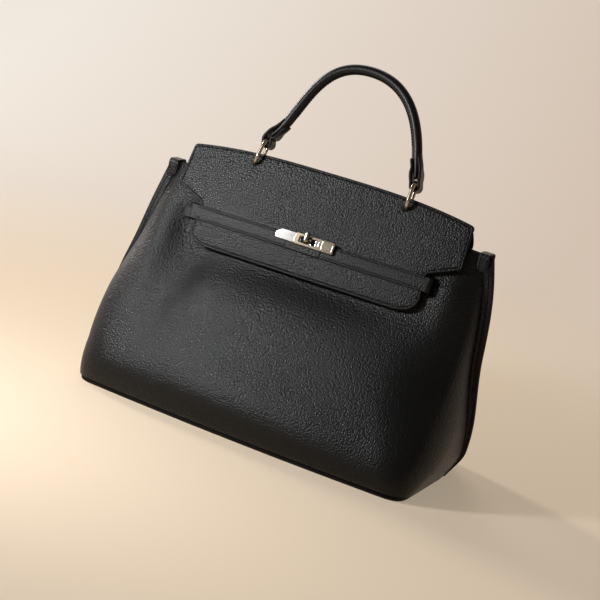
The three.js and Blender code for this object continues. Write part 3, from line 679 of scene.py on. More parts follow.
# Soft dents and swells of worn-in leather: across, height, half width, half height and depth
frontDents = [
    (-52, 104, 92, 32, 6.0), (62, 100, 70, 32, 3.6), (10, 150, 112, 17, -4.6), (-112, 142, 29, 32, -5.6),
    (-122, 100, 31, 32, -4.6), (-127, 168, 22, 17, -5.0), (-152, 142, 14, 48, 3.6), (144, 170, 13, 30, 2.6),
    (152, 96, 26, 40, -3.0), (-128, 62, 34, 34, -2.2), (118, 40, 40, 26, -2.0), (-20, 40, 80, 20, 1.6),
]
backDents = [
    (-138, 150, 22, 36, -3.0), (138, 148, 22, 36, -3.2), (20, 70, 90, 36, 2.4), (-60, 122, 60, 18, -1.4),
    (70, 110, 46, 24, -1.2),
]
softForm = {"foot": (4, 26), "top": (176, 212), "ripple": 0.35}


def softness(x, z, dents):
    amount = np.zeros_like(x)
    for middle, height, wide, tall, depth in dents:
        amount += depth * np.exp(-((x - middle) / wide) ** 2 - ((z - height) / tall) ** 2)
    fade = blendStep(z, *softForm["foot"]) * (1 - blendStep(z, *softForm["top"]))
    ripple = softForm["ripple"] * np.sin(x / 23.0 + z / 31.0) * np.sin(z / 27.0 - x / 47.0)
    return (amount + ripple) * fade


# A curve or outline at each of some heights, as rows of points
def stacked(heights, lineAt):
    rows = []
    for height in heights:
        line = lineAt(height)
        rows.append(np.column_stack([line, np.full(len(line), height)]))
    return rows


def panelGrid(side, dents):
    form = bodyForm
    heights = form["foot"] + 1.0 + (form["height"] - form["foot"] - 2.0) * np.linspace(0, 1, form["rows"])
    rows = stacked(heights, lambda height: planLine(height, side, form["leather"] / 2))
    points = np.vstack(rows)
    faces = flipped(gridFaces(len(rows), len(rows[0])), side < 0)
    margin, fade = form["stillEdge"]
    edge = np.abs(points[:, 0] - sideShift(points[:, 2])) - (seamHalf(points[:, 2]) - margin)
    soft = softness(points[:, 0], points[:, 2], dents) * (1 - blendStep(edge, 0, fade))
    return points + vertexNormals(points, faces) * soft[:, None], faces


frontPoints, frontFaces = panelGrid(1, frontDents)
backPoints, backFaces = panelGrid(-1, backDents)
frontTree = BVHTree.FromPolygons([tuple(point) for point in frontPoints], frontFaces)


# A place on the outer face of the front, found straight in from outside
def onFront(x, z):
    place, normal, _, _ = frontTree.ray_cast(Vector((x, -300, z)), Vector((0, 1, 0)))
    facing = normal if normal.y < 0 else -normal
    return np.array(place + facing * (bodyForm["leather"] / 2)), np.array(facing)


# The flap's plane: across, out of its outer face, and along it from the crown
flapForm = {
    "tilt": 17.2146, "depth": -2.15, "top": 249.0, "crownRise": 31.0,
    "crown": [(0, 0), (49.64, 0), (96.36, 0), (146, -9.42)],
    "corner": (148.5, 17.0), "notch": (117.5, 29.5), "shoulder": (120.5, 51.0), "tongue": 67.0,
    "tongueCorner": 26.0, "leather": 2.0, "rim": 0.8, "stitchInset": 3.0, "ring": 79.0,
    "rings": [0.45, 0.9, 1.4, 1.75, 2.1, 2.8],
}
tilt = math.radians(flapForm["tilt"])
flapOut = np.array([0, -math.cos(tilt), math.sin(tilt)])
flapUp = np.array([0, math.sin(tilt), math.cos(tilt)])


def onFlap(x, out, along):
    x, out, along = np.broadcast_arrays(np.asarray(x, float), out, along)
    y = flapForm["depth"] - out * math.cos(tilt) + along * math.sin(tilt)
    z = flapForm["top"] + out * math.sin(tilt) + along * math.cos(tilt)
    return np.stack([x, y, z], axis=-1)


def downFlap(drop):
    return -(drop + flapForm["crownRise"]) / math.cos(tilt)


strapForm = {
    "width": 14.0, "thickness": 2.2, "drop": 38.5, "slit": 125.7, "slitDepth": -6.3, "middle": 1.4,
    "turn": 121.5, "end": {-1: 20.0, 1: 16.0}, "crown": 0.16, "stitchInset": 2.2, "bendLength": 30.0,
    "rim": 0.5, "spread": (0.2, 0.4, 0.6, 0.76, 0.85, 0.92, 0.97, 1), "steps": 44, "relief": 0.6,
}
strapAlong = downFlap(strapForm["drop"])

# Front and back panels, with real slits where the belt goes in
slitForm = {"width": 5.6, "height": 16.4, "depth": 9.0, "out": 1.3, "sunk": 1.2,
            "stitchOut": 6.2, "stitchIn": 4.0, "stitchHalf": 9.9}


def slitCutter(side):
    form = slitForm
    level = strapForm["slitDepth"] - form["sunk"]
    middle = onFlap(side * (strapForm["slit"] + form["out"]), level, strapAlong)
    corners = []
    for x, y, z in [(x, y, z) for x in (-1, 1) for y in (-1, 1) for z in (-1, 1)]:
        offset = flapOut * y * form["depth"] / 2 + flapUp * z * form["height"] / 2
        corners.append(middle + offset + np.array([x * form["width"] / 2, 0, 0]))
    faces = [(0, 1, 3, 2), (4, 6, 7, 5), (0, 4, 5, 1), (2, 3, 7, 6), (0, 2, 6, 4), (1, 5, 7, 3)]
    return newObject("slit_cutter", corners, faces, [paintedEdge])


def makePanels():
    leather, rim = bodyForm["leather"], bodyForm["rim"]
    front = sheetPiece("front_leather", frontPoints, frontFaces, leather, rim, edgedBody)
    for side in (-1, 1):
        cutAway(front, slitCutter(side))
    back = sheetPiece("back_leather", backPoints, backFaces, leather, rim, edgedBody)
    carry(front, "bag", "black_leather", "front_panel")
    carry(back, "bag", "black_leather", "back_panel")


makePanels()
print("front and back panels made")

# Base with a rounded edge, and the board that stiffens it
baseForm = {"plan": 4.0, "middle": 2.0, "thickness": 4.0, "rim": 0.9, "inset": 2.2, "rings": [2.0, 5.0]}
boardForm = {"plan": 5.3, "middle": 5.3, "thickness": 1.9, "rim": 0.4, "inset": 6.2, "rings": [1.0, 2.5]}


def groundPiece(name, form, materials):
    outline = inset(closedResample(planLoop(form["plan"], 0.0, 0.0), 3.0), form["inset"])
    points, faces, _ = cutShape(outline, [], 3.0, 14.0, form["rings"])
    flat = np.column_stack([points, np.full(len(points), form["middle"])])
    return sheetPiece(name, flat, faces, form["thickness"], form["rim"], materials)


carry(groundPiece("base_leather", baseForm, edgedBody), "bag", "black_leather", "base_panel")
carry(groundPiece("base_board_fibre", boardForm, [stiffBoard]), "bag", "stiff_board", "base_board")
print("base made")


# Flap: outer leather, backing of the crown, lining, and their stitches
def crownHalf():
    return [(x, y, 0) for x, y in bezier(flapForm["crown"], 24)[:-1]]


def flapOutline():
    form = flapForm
    x, y = form["shoulder"]
    shoulder = (x, downFlap(y))
    foot = downFlap(form["tongue"])
    right = crownHalf() + [(*form["crown"][3], 3.0)]
    for (x, y), radius in ((form["corner"], 3.0), (form["notch"], 4.0)):
        right.append((x, downFlap(y), radius))
    curve = bezier([shoulder, (shoulder[0] - 1, foot), (shoulder[0] - form["tongueCorner"], foot)], 14)
    return mirroredOutline(right + [(x, y, 0) for x, y in curve])


def flapInset(insetBy):
    return inset(closedResample(flapOutline(), 1.6), insetBy)


lockForm = {
    "drop": 34.0, "slotFoot": -14.4, "slotTop": -10.5, "slotHalf": 2.1, "slotRound": 1.4, "slotRoom": 0.2,
    "eyeHalf": 2.5, "eyeDown": 7.95, "eyeUp": 4.75, "eyeRound": 1.5, "eyeRoom": 1.0,
    "eyeRim": 1.5, "eyeLow": 0.2, "eyeThick": 0.7, "eyeBevel": 0.25,
}
lockAlong = downFlap(lockForm["drop"])


def ringSlots():
    form = lockForm
    half = form["slotHalf"] + form["slotRoom"]
    low, high = form["slotFoot"] - form["slotRoom"], form["slotTop"] + form["slotRoom"]
    return [boxLoop(middle - half, middle + half, low, high, form["slotRound"])
            for middle in (-flapForm["ring"], flapForm["ring"])]


def eyeletLoop(grow):
    form = lockForm
    half = form["eyeHalf"] + grow
    return boxLoop(-half, half, lockAlong - form["eyeDown"] - grow, lockAlong + form["eyeUp"] + grow,
                   form["eyeRound"] + grow)


# Edge turned down a little, with a creased line inside it
edgeForm = {"roll": 0.22, "rollWidth": 0.9, "crease": 0.24, "creaseAt": 1.75, "creaseWidth": 0.32}


def edgeRelief(distance):
    form = edgeForm
    roll = -form["roll"] * (1 - blendStep(distance, 0, form["rollWidth"]))
    return roll + -form["crease"] * np.exp(-((distance - form["creaseAt"]) / form["creaseWidth"]) ** 2)


def flapWave(x, along):
    return 0.28 * np.sin(x / 41.0 + 0.6) * np.sin(along / 37.0) + 0.16 * np.sin(x / 19.0 - along / 23.0)


# A closed line of stitches inside an outline, at a level of the flap's plane
def flapRun(outline, insetBy, level, facing):
    run = inset(closedResample(outline, 1.2), insetBy)
    run = np.vstack([run, run[:1]])
    return facingRun(onFlap(run[:, 0], level, run[:, 1]), facing)


def makeFlap():
    form = flapForm
    holes = [*ringSlots(), eyeletLoop(lockForm["eyeRoom"])]
    points, faces, edge = cutShape(flapInset(0.8), holes, 1.6, 6.0, form["rings"])
    distance = outlineDistance(points, edge) + 0.1
    lifted = edgeRelief(distance) + flapWave(points[:, 0], points[:, 1]) * blendStep(distance, 2, 30)
    middle = onFlap(points[:, 0], -form["leather"] / 2 + lifted, points[:, 1])
    outer = sheetPiece("flap_leather", middle, flipped(faces), form["leather"], form["rim"], edgedBody)
    carry(outer, "flap", "black_leather", "flap_outer")
    return flapRun(flapOutline(), form["stitchInset"], edgeRelief(form["stitchInset"] - 0.7), flapOut)


crownForm = {"out": -2.15, "thickness": 2.1, "rim": 0.7, "foot": -15, "inset": 0.7, "stitchInset": 2.3,
             "stitchOut": -4.3}


def makeCrown():
    form = crownForm
    x, y = flapForm["crown"][3]
    outline = mirroredOutline(crownHalf() + [(x, y, 2.5), (x, form["foot"], 1.0)])
    outline = inset(closedResample(outline, 1.6), form["inset"])
    points, faces, _ = cutShape(outline, ringSlots(), 1.6, 5.0, [0.6, 1.2])
    middle = onFlap(points[:, 0], form["out"] - form["thickness"] / 2, points[:, 1])
    piece = sheetPiece("crown_leather", middle, flipped(faces), form["thickness"], form["rim"], edgedBody)
    carry(piece, "flap", "black_leather", "crown_backing")
    return flapRun(outline, form["stitchInset"], form["stitchOut"], -flapOut)


flapLiningForm = {"inset": 1.5, "half": 144.4, "top": -15.4, "out": -2.8, "thickness": 0.9, "rim": 0.4}


def makeFlapLining():
    form = flapLiningForm
    outline = [tuple(point) for point in flapInset(form["inset"]) if point[1] < form["top"]]
    right = [point for point in outline if point[0] >= 0]
    left = [point for point in outline if point[0] < 0]
    loop = np.array([(-form["half"], form["top"]), (form["half"], form["top"]), *right, *left])
    points, faces, _ = cutShape(loop, [eyeletLoop(lockForm["eyeRoom"])], 2.4, 8.0, [1.0])
    middle = onFlap(points[:, 0], form["out"], points[:, 1])
    piece = sheetPiece("flap_cloth", middle, faces, form["thickness"], form["rim"], [liningTwill])
    carry(piece, "flap", "lining_cloth", "flap_lining")


flapRuns = [makeFlap(), makeCrown()]
makeFlapLining()
carry(stitchPiece("flap_stitches", flapRuns), "flap", "black_leather")
print("flap made")

# Soft leather behind the crown, where the flap bends
hingeForm = {"low": (7.0, 218.4), "lowPull": (6.2, 225.5), "highPull": (0.6, 229.0), "high": (-2.3, 233.2),
             "half": 146.0, "thickness": 1.9, "rim": 0.8}


def makeHinge():
    form = hingeForm
    path = bezier([form["low"], form["lowPull"], form["highPull"], form["high"]], 14)
    across = np.linspace(-form["half"] + form["rim"], form["half"] - form["rim"], 70)
    points = np.array([(x, y, z) for y, z in path for x in across])
    faces = gridFaces(len(path), len(across))
    piece = sheetPiece("hinge_leather", points, faces, form["thickness"], form["rim"], edgedBody)
    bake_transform(piece)
    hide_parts("flap_hinge")


makeHinge()


# Belt straps, which bend where they come out of their slits
def strapPath(side):
    form = strapForm
    end, slit, middle, steps = form["end"][side], form["slit"], form["middle"], form["steps"]
    turn = [(form["turn"], middle), (slit, middle), (slit, middle - 0.5), (slit, form["slitDepth"])]
    straight = [(end + (form["turn"] - end) * step / steps, middle) for step in range(steps)]
    return np.vstack([straight, bezier(turn, 16)])


def makeStrap(side, word):
    form = strapForm
    path = strapPath(side)
    spread = [-share for share in form["spread"][::-1]] + [0, *form["spread"]]
    half = form["width"] / 2 - form["rim"]
    points = []
    for (x, out), (nx, nout) in zip(path, leftOf(path)):
        for share in spread:
            edge = half * (1 - abs(share))
            rise = form["crown"] * (1 - share ** 4) + edgeRelief(edge) * form["relief"]
            points.append(onFlap(side * (x + nx * rise), out + nout * rise, strapAlong + share * half))
    faces = flipped(gridFaces(len(path), len(spread)), side < 0)
    thickness = form["thickness"] - 0.3
    piece = sheetPiece(f"strap_{word}_leather", points, faces, thickness, form["rim"], edgedBelt)
    runs = []
    for sign in (-1, 1):
        offset = form["width"] / 2 - form["stitchInset"]
        level = path[:, 1] + form["thickness"] / 2 + form["crown"] * 0.4 - 0.1
        keep = path[:, 0] < form["turn"]
        run = onFlap(side * path[keep, 0], level[keep], strapAlong + sign * offset)
        runs.append(facingRun(run, flapOut))
    thread = stitchPiece(f"strap_{word}_stitches", runs)
    slit = onFlap(side * form["slit"], 0.0, strapAlong) * mm
    inner = onFlap(side * (form["slit"] - form["bendLength"]), 0.0, strapAlong) * mm
    for item in (piece, thread):
        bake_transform(item)
    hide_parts(f"strap_{word}")


for sideSign, sideWord in bothSides:
    makeStrap(sideSign, sideWord)

tipForm = {"start": -20.3, "end": 14.9, "notch": 3.7, "notchFoot": 4.3, "middle": 1.95, "thickness": 1.3,
           "rim": 0.4}


# The left strap's thinned end, which runs on under the plates round the lock
def makeStrapTip():
    form = tipForm
    start, end, notch = form["start"], form["end"], form["notch"]
    low = strapAlong - strapForm["width"] / 2 + form["rim"]
    high = strapAlong + strapForm["width"] / 2 - form["rim"]
    foot = lockAlong - form["notchFoot"]
    corners = [(start, low, 0), (end, low, 1.5), (end, high, 1.5), (notch, high, 0.8), (notch, foot, 2.6),
               (-notch, foot, 2.6), (-notch, high, 0.8), (start, high, 0)]
    points, faces, _ = cutShape(roundCorners(corners), [], 1.2, 3.0, [0.5, 1.1])
    middle = onFlap(points[:, 0], form["middle"], points[:, 1])
    piece = sheetPiece("strap_left_tip", middle, flipped(faces), form["thickness"], form["rim"], edgedBelt)
    carry(piece, "strap_left_body", "black_leather")


makeStrapTip()
print("belt straps made")

# Metal of the lock: plates, knob, eyelet
plateForm = {
    "thickness": 1.2, "leftLow": 2.8, "rightLow": 4.3, "left": (-33.0, 12.0, 9.8),
    "right": (-13.0, 28.0, 11.0), "block": 14.0, "window": (-8.0, 11.6, 2.9),
    "underWindow": (-6.5, 8.0, 2.9), "notch": 2.5, "chamfer": (5.4, 3.8), "line": (0.34, 0.12),
}


def metalSheet(outline, holes, low, thickness, bevel=0.28):
    points, faces, _ = cutShape(inset(closedResample(outline, 0.7), bevel), holes, 0.7, 2.2, [0.2, 0.5])
    middle = onFlap(points[:, 0], low + thickness / 2, points[:, 1])
    return thickSheet(middle, flipped(faces), thickness - 0.02, bevel, 5)[:2]


# A plate's outline that runs down through the notch and round the window
def notchedPlate(corners, window):
    left, right, half = window
    notch = plateForm["notch"]
    high = max(y for x, y, radius in corners)
    above, below = lockAlong + half, lockAlong - half
    inner = [(notch, high, 0.4), (notch, above, 0.2), (right, above, 0.6), (right, below, 0.6),
             (left, below, 0.6), (left, above, 0.6), (-notch, above, 0.2), (-notch, high, 0.4)]
    return roundCorners([*corners[:3], *inner, *corners[3:]])


def makePlates():
    form = plateForm
    left, right, height = form["left"]
    low, high = lockAlong - height / 2, lockAlong + height / 2
    chamferAcross, chamferDown = form["chamfer"]
    corners = [(left, low, 0.8), (right, low, 1.0), (right, high, 1.0),
               (left + chamferAcross, high, 0.6), (left, high - chamferDown, 0.6)]
    outline = notchedPlate(corners, form["underWindow"])
    under = metalSheet(outline, [], form["leftLow"], form["thickness"])
    silver = newObject("belt_plate_left", *under, [palladium])
    carry(silver, "strap_left_body", "silver", "strap_plate_left")
    left, right, height = form["right"]
    low, high = lockAlong - height / 2, lockAlong + height / 2
    corners = [(left, low, 3.0), (right, low, 1.0), (right, high, 1.0), (left, high, 3.0)]
    cover = metalSheet(notchedPlate(corners, form["window"]), [], form["rightLow"], form["thickness"])
    block, rim, bare = (boxLoop(form["block"] + near, right - far, low + far, high - far, radius)
                        for near, far, radius in ((0.2, 0.1, 0.8), (1.4, 1.2, 0.5), (2.1, 1.9, 0.4)))
    foot = metalSheet(block, [], form["leftLow"], form["rightLow"] - form["leftLow"] + 0.1)
    frameLine = metalSheet(rim, [bare], form["rightLow"] + form["thickness"] - 0.1, *form["line"])
    gold = newObject("belt_plate_right", *mergedMeshes([cover, foot, frameLine]), [paleGold])
    carry(gold, "strap_right_body", "pale_gold", "strap_plate_right")


makePlates()

knobForm = {
    "width": 4.6, "foot": -2.0, "top": 8.2, "stem": 1.6, "stemOut": (-5.0, 5.85), "sides": 40,
    "levels": [(5.8, 0.80), (6.05, 0.93), (6.6, 1.0), (8.8, 1.0), (9.5, 0.95), (9.95, 0.84), (10.25, 0.64),
               (10.4, 0.30)],
}


# The knob's tab stands off its stem, so it points up through the notch
def makeKnob():
    form = knobForm
    angles = ringAngles(form["sides"])
    middle = (form["foot"] + form["top"]) / 2
    length = form["top"] - form["foot"]
    head = []
    for out, share in form["levels"]:
        shrink = (1 - share) * form["width"] / 2
        halfX, halfZ = form["width"] / 2 - shrink, length / 2 - shrink
        along = halfX * np.sin(angles) + np.sign(np.sin(angles)) * (halfZ - halfX)
        head.append(onFlap(halfX * np.cos(angles), out, lockAlong + middle + along))
    stem = [onFlap(form["stem"] * np.cos(angles), out, lockAlong + form["stem"] * np.sin(angles))
            for out in form["stemOut"]]
    parts = [(np.vstack(rows), tubeFaces(len(rows), form["sides"])) for rows in (head, stem)]
    carry(newObject("turn_knob", *mergedMeshes(parts), [paleGold]), "knob", "pale_gold", "lock_knob")


makeKnob()


def makeEyelet():
    form = lockForm
    sizes = (form["eyeLow"], form["eyeThick"], form["eyeBevel"])
    rim = metalSheet(eyeletLoop(form["eyeRim"]), [eyeletLoop(0.0)], *sizes)
    carry(newObject("flap_eyelet_rim", *rim, [paleGold]), "flap", "pale_gold", "flap_eyelet")


makeEyelet()
print("lock made")

# Oval rings through the crown
ringForm = {
    "radius": 9.0, "straight": 9.0, "wireAcross": 1.80, "wireIn": 1.65, "pivot": (-1.169, 244.9015),
    "turn": 9.0, "topShift": {-1: 4.0, 1: 0.0}, "sides": 18,
}


def ringPoints(side):
    form = ringForm
    radius, straight = form["radius"], form["straight"]
    steps = np.linspace(0, math.pi, 33)
    low = [(-radius * math.cos(angle), -radius * math.sin(angle)) for angle in steps]
    high = [(radius * math.cos(angle), straight + radius * math.sin(angle)) for angle in steps]
    right = [(radius, straight * step / 8) for step in range(1, 8)]
    left = [(-radius, straight * (1 - step / 8)) for step in range(1, 8)]
    line = np.array(low + right + high + left)
    ahead = unit(np.roll(line, -1, axis=0) - np.roll(line, 1, axis=0))
    facing = np.column_stack([ahead[:, 1], -ahead[:, 0]])
    turn = math.radians(form["turn"])
    inBack = -flapOut * math.cos(turn) - np.array([math.sin(turn), 0, 0])
    sideways = np.array([math.cos(turn), 0, 0]) - flapOut * math.sin(turn)
    leaning = np.array([form["topShift"][side] / (straight + 2 * radius), 0, 0])
    centre = np.array([side * flapForm["ring"], *form["pivot"]]) + leaning * radius
    angles = ringAngles(form["sides"])
    rise = form["wireIn"] * np.cos(angles)[:, None]
    across = form["wireAcross"] * np.sin(angles)[:, None]
    spots = line[:, None] + facing[:, None] * rise
    points = centre + spots[..., :1] * inBack + spots[..., 1:] * (flapUp + leaning) + across * sideways
    return points.reshape(-1, 3), gridFaces(len(line), form["sides"], True, True)


for sideSign, sideWord in bothSides:
    ringPiece = newObject(f"oval_ring_{sideWord}", *ringPoints(sideSign), [paleGold])
    carry(ringPiece, f"ring_{sideWord}_body", "pale_gold", f"ring_{sideWord}")
print("rings made")

# Handle: a round rolled handle with a sewn welt inside its arch, and a folded loop at each end
handleForm = {
    "pivot": (1.4945, 253.4983), "lean": 13.0, "legLean": {-1: 35.0, 1: 15.5}, "rise": 96.5, "topShift": 1.7,
    "topPull": 51.5, "legPull": 29.0, "legStart": 11.3, "tail": 3.0, "radius": 4.5, "welt": 1.1,
    "weltWide": 0.24, "endIn": 3.0, "endAcross": 4.1, "tailIn": 2.2, "taper": 14.0, "sides": 28,
    "stitchTurn": 0.30, "stitchRise": 0.32, "stitchWide": 1.25, "stitchEnds": 14, "stitchTilt": 0.7,
}
lean = math.radians(handleForm["lean"])
handleUp = np.array([0, math.sin(lean), math.cos(lean)])
handleBack = np.array([0, math.cos(lean), -math.sin(lean)])


# The direction along a leg; the soft handle slumps to the right
def legAxis(side):
    angle = math.radians(handleForm["legLean"][side])
    return np.array([-side * math.sin(angle), math.cos(angle)])


def ringTop(side):
    return np.array([side * flapForm["ring"] + ringForm["topShift"][side], ringForm["radius"]])


def onHandle(x, back, rise):
    x, back, rise = np.broadcast_arrays(np.asarray(x, float), back, rise)
    base = np.array([0, *handleForm["pivot"]]) + x[..., None] * np.array([1, 0, 0])
    return base + back[..., None] * handleBack + rise[..., None] * handleUp


def handleLeg(side):
    form = handleForm
    along = legAxis(side)
    begin = ringTop(side) + along * form["legStart"]
    top = (form["topShift"], form["rise"])
    topPull = (form["topShift"] + side * form["topPull"], form["rise"])
    curve = bezier([top, topPull, begin + along * form["legPull"], begin], 60)
    return np.vstack([curve, ringTop(side) + along * form["tail"]])


handleLine = resample(np.vstack([handleLeg(-1)[1:][::-1], handleLeg(1)]), 2.2)


# Half sizes in the arch's plane and across it, and how much the handle has grown from its ends
def handleSize(line):
    form = handleForm
    length = pathLengths(line)
    tail = form["legStart"] - form["tail"]
    fromEnd = np.minimum(length, length[-1] - length) - tail
    grown = blendStep(fromEnd, 0, form["taper"])
    inPlane = form["endIn"] + (form["radius"] - form["endIn"]) * grown
    tapered = form["endIn"] + (form["tailIn"] - form["endIn"]) * -fromEnd / tail
    inPlane = np.where(fromEnd < 0, tapered, inPlane)
    across = form["endAcross"] + (form["radius"] - form["endAcross"]) * grown
    return inPlane, across, grown


# A tube along the handle from its half sizes at each place and each angle
def handleTube(name, line, near, wide, material):
    outward = leftOf(line)
    angles = ringAngles(near.shape[1])
    radial = near * np.cos(angles)
    points = onHandle(line[:, :1] + outward[:, :1] * radial, wide * np.sin(angles),
                      line[:, 1:] + outward[:, 1:] * radial)
    return newObject(name, points.reshape(-1, 3), tubeFaces(*near.shape), [material])


def makeHandle():
    form = handleForm
    line = handleLine
    inPlane, across, grown = handleSize(line)
    away = np.abs(ringAngles(form["sides"]) - math.pi)
    away = np.minimum(away, 2 * math.pi - away)
    welt = form["welt"] * grown[:, None] * np.exp(-(away / form["weltWide"]) ** 2)
    handle = handleTube("handle_leather", line, inPlane[:, None] + welt, across[:, None], handleLeather)
    carry(handle, "handle", "black_leather", "handle_cover")
    outward = leftOf(line)
    inwards = -outward[:, :1] * np.array([1, 0, 0]) - outward[:, 1:] * handleUp
    keep = slice(form["stitchEnds"], -form["stitchEnds"])
    runs = []
    for sign in (-1, 1):
        angle = math.pi + sign * form["stitchTurn"]
        radial = (inPlane + form["welt"] * form["stitchRise"]) * math.cos(angle)
        spot = onHandle(line[:, 0] + outward[:, 0] * radial, across * math.sin(angle) * form["stitchWide"],
                        line[:, 1] + outward[:, 1] * radial)
        runs.append((spot[keep], (inwards * form["stitchTilt"] - sign * handleBack)[keep]))
    return runs


coreForm = {"radius": 2.55, "strand": 0.28, "strands": 3, "twist": 0.22, "sides": 24, "ends": 2}


def makeCore():
    form = coreForm
    line = handleLine[form["ends"]:-form["ends"]]
    twist = np.arange(len(line))[:, None] * form["twist"]
    radius = form["radius"] + form["strand"] * np.cos(form["strands"] * (ringAngles(form["sides"]) - twist))
    core = handleTube("handle_cord", line, radius, radius, coreCotton)
    carry(core, "handle", "cord_core", "handle_core")


handleRuns = makeHandle()
makeCore()

loopForm = {
    "wireRoom": 2.3, "thickness": 3.0, "width": 11.0, "innerEnd": 22.0, "outerEnd": 25.0, "hang": 8.4,
    "fall": (0.29, -0.957), "join": 6.5, "sink": (13, 0.9), "pull": (3, 2), "narrow": (5, 16, 0.24),
    "ends": (0.66, 0.86, 0.96), "hug": (8, 16, 1.5), "columns": 15, "rim": 0.7,
}


# A folded loop that hangs on the ring's top: its leaves lie along the handle's end
def makeLoop(side, word):
    form = loopForm
    half = form["thickness"] / 2
    fold = form["wireRoom"] + half
    legUp = legAxis(side)
    ring = ringTop(side)
    fall = np.array(form["fall"])
    towardIn = np.array([-fall[1], fall[0]]) * -side
    line = resample(handleLeg(side)[::-1], 0.5)
    length = handleForm["tail"] + np.arange(len(line)) * np.linalg.norm(line[1] - line[0])
    toward = leftOf(line) * side

    def leaf(run, sign, sunk):
        grown = float(blendStep(run - handleForm["legStart"], 0, handleForm["taper"]))
        out = handleForm["endIn"] + (handleForm["radius"] - handleForm["endIn"]) * grown + half - sunk
        return pointsAt(line, length, [run])[0] + pointsAt(toward, length, [run])[0] * sign * out

    sinkStart, sinkShare = form["sink"]
    runs = np.linspace(form["outerEnd"], form["join"], 16)
    inner = [leaf(run, 1, 0.0) for run in runs if run <= form["innerEnd"]]
    sunk = blendStep(runs, sinkStart, form["outerEnd"]) * form["thickness"] * sinkShare
    outer = [leaf(run, -1, depth) for run, depth in zip(runs, sunk)]
    low = ring + fall * (form["hang"] - fold)
    nearIn, nearOut = ring + towardIn * fold, ring - towardIn * fold
    legPull, ringPull = legUp * form["pull"][0], fall * form["pull"][1]
    down = [*inner, *bezier([inner[-1], inner[-1] - legPull, nearIn - ringPull, nearIn], 9)[1:]]
    up = [*bezier([nearOut, nearOut - ringPull, outer[-1] - legPull, outer[-1]], 9)[:-1], *outer[::-1]]
    turn = [low + fold * (towardIn * math.cos(angle) + fall * math.sin(angle))
            for angle in np.linspace(0, math.pi, 19)]
    path = resample(np.vstack([down, turn, up]), 1.5)
    spread = np.linspace(-1, 1, form["columns"])
    narrowLow, narrowHigh, narrowing = form["narrow"]
    hugLow, hugHigh, hugging = form["hug"]
    points = []
    for index, (spot, (nx, nz)) in enumerate(zip(path, leftOf(path) * -side)):
        fromEnd = min(index, len(path) - 1 - index)
        climb = float((spot - ring) @ legUp)
        wide = form["width"] / 2 * (1 - narrowing * float(blendStep(climb, narrowLow, narrowHigh)))
        wide *= form["ends"][fromEnd] if fromEnd < len(form["ends"]) else 1.0
        bow = hugging * float(blendStep(climb, hugLow, hugHigh)) * spread ** 2
        points.append(onHandle(spot[0] - nx * bow, spread * wide, spot[1] - nz * bow))
    faces = flipped(gridFaces(len(path), len(spread)), side < 0)
    points, thickness = np.vstack(points), form["thickness"] - 0.2
    piece = sheetPiece(f"loop_{word}_leather", points, faces, thickness, form["rim"], edgedHandle)
    carry(piece, "handle", "black_leather", f"handle_loop_{word}")


for sideSign, sideWord in bothSides:
    makeLoop(sideSign, sideWord)
carry(stitchPiece("handle_stitches", handleRuns), "handle", "black_leather")
print("handle made")

# Side seams: stitches down the flanges, and the folded tabs at their tops
seamStitch = {"fromEdge": 4.6, "low": 70.0, "high": 201.0, "proud": 0.15, "least": 0.4}


def seamRuns():
    form = seamStitch
    runs = []
    for panelSide in (1, -1):
        for side in (-1, 1):
            path = []
            for height in np.linspace(form["low"], form["high"], 60):
                fromSeam = max(flangeReach(height) - form["fromEdge"], form["least"])
                x = side * (seamHalf(height) + sideReach(height, side)[1] + fromSeam)
                y = -seamLean(height, side) - panelSide * (bodyForm["leather"] + form["proud"])
                path.append((x + sideShift(height), y, height))
            runs.append(facingRun(path, (0, -panelSide, 0)))
    return runs


tabForm = {"inner": 157.8, "outer": 168.3, "spread": 7.8, "top": 219.2, "foot": 203.4, "thickness": 1.7,
           "bend": 3.6, "rim": 0.7, "stitchInset": 1.3, "stitchTop": 4}


def makeTab(side, word):
    form = tabForm
    half = (form["outer"] - form["inner"]) / 2 - form["rim"]
    middle = side * (form["inner"] + form["outer"]) / 2
    near, top, bend = -form["spread"], form["top"], form["bend"]
    path = [(near, z) for z in np.linspace(form["foot"], top - bend, 12)]
    path += list(bezier([(near, top - bend), (near, top), (near + bend, top)], 8)[1:])
    path += [(y, top) for y in np.linspace(near + bend, 0, 5)[1:]]
    path += [(-y, z) for y, z in path[:-1][::-1]]
    spread = np.linspace(-1, 1, 11)
    points = []
    for y, z in path:
        lift = max(0.0, 1 - (z - form["foot"]) / half)
        wide = half * math.sqrt(max(1 - lift ** 2, 0.05))
        points += [(middle + share * wide, y, z) for share in spread]
    faces = gridFaces(len(path), len(spread))
    piece = sheetPiece(f"{word}_tab_leather", points, faces, form["thickness"], form["rim"], edgedBelt)
    carry(piece, "bag", "black_leather", f"{word}_top_tab")
    runs = []
    reach = half - form["stitchInset"]
    level = form["foot"] + half
    for sign, last in ((-1, -math.pi), (1, 0)):
        curve = [(middle + reach * math.cos(angle), level + reach * math.sin(angle))
                 for angle in np.linspace(-math.pi / 2, last, 8)]
        curve += [(middle + sign * reach, z) for z in np.linspace(level, top - form["stitchTop"], 6)[1:]]
        for face in (-1, 1):
            run = [(x, face * (form["spread"] + form["thickness"] / 2), z) for x, z in curve]
            runs.append(facingRun(run, (0, face, 0)))
    return runs


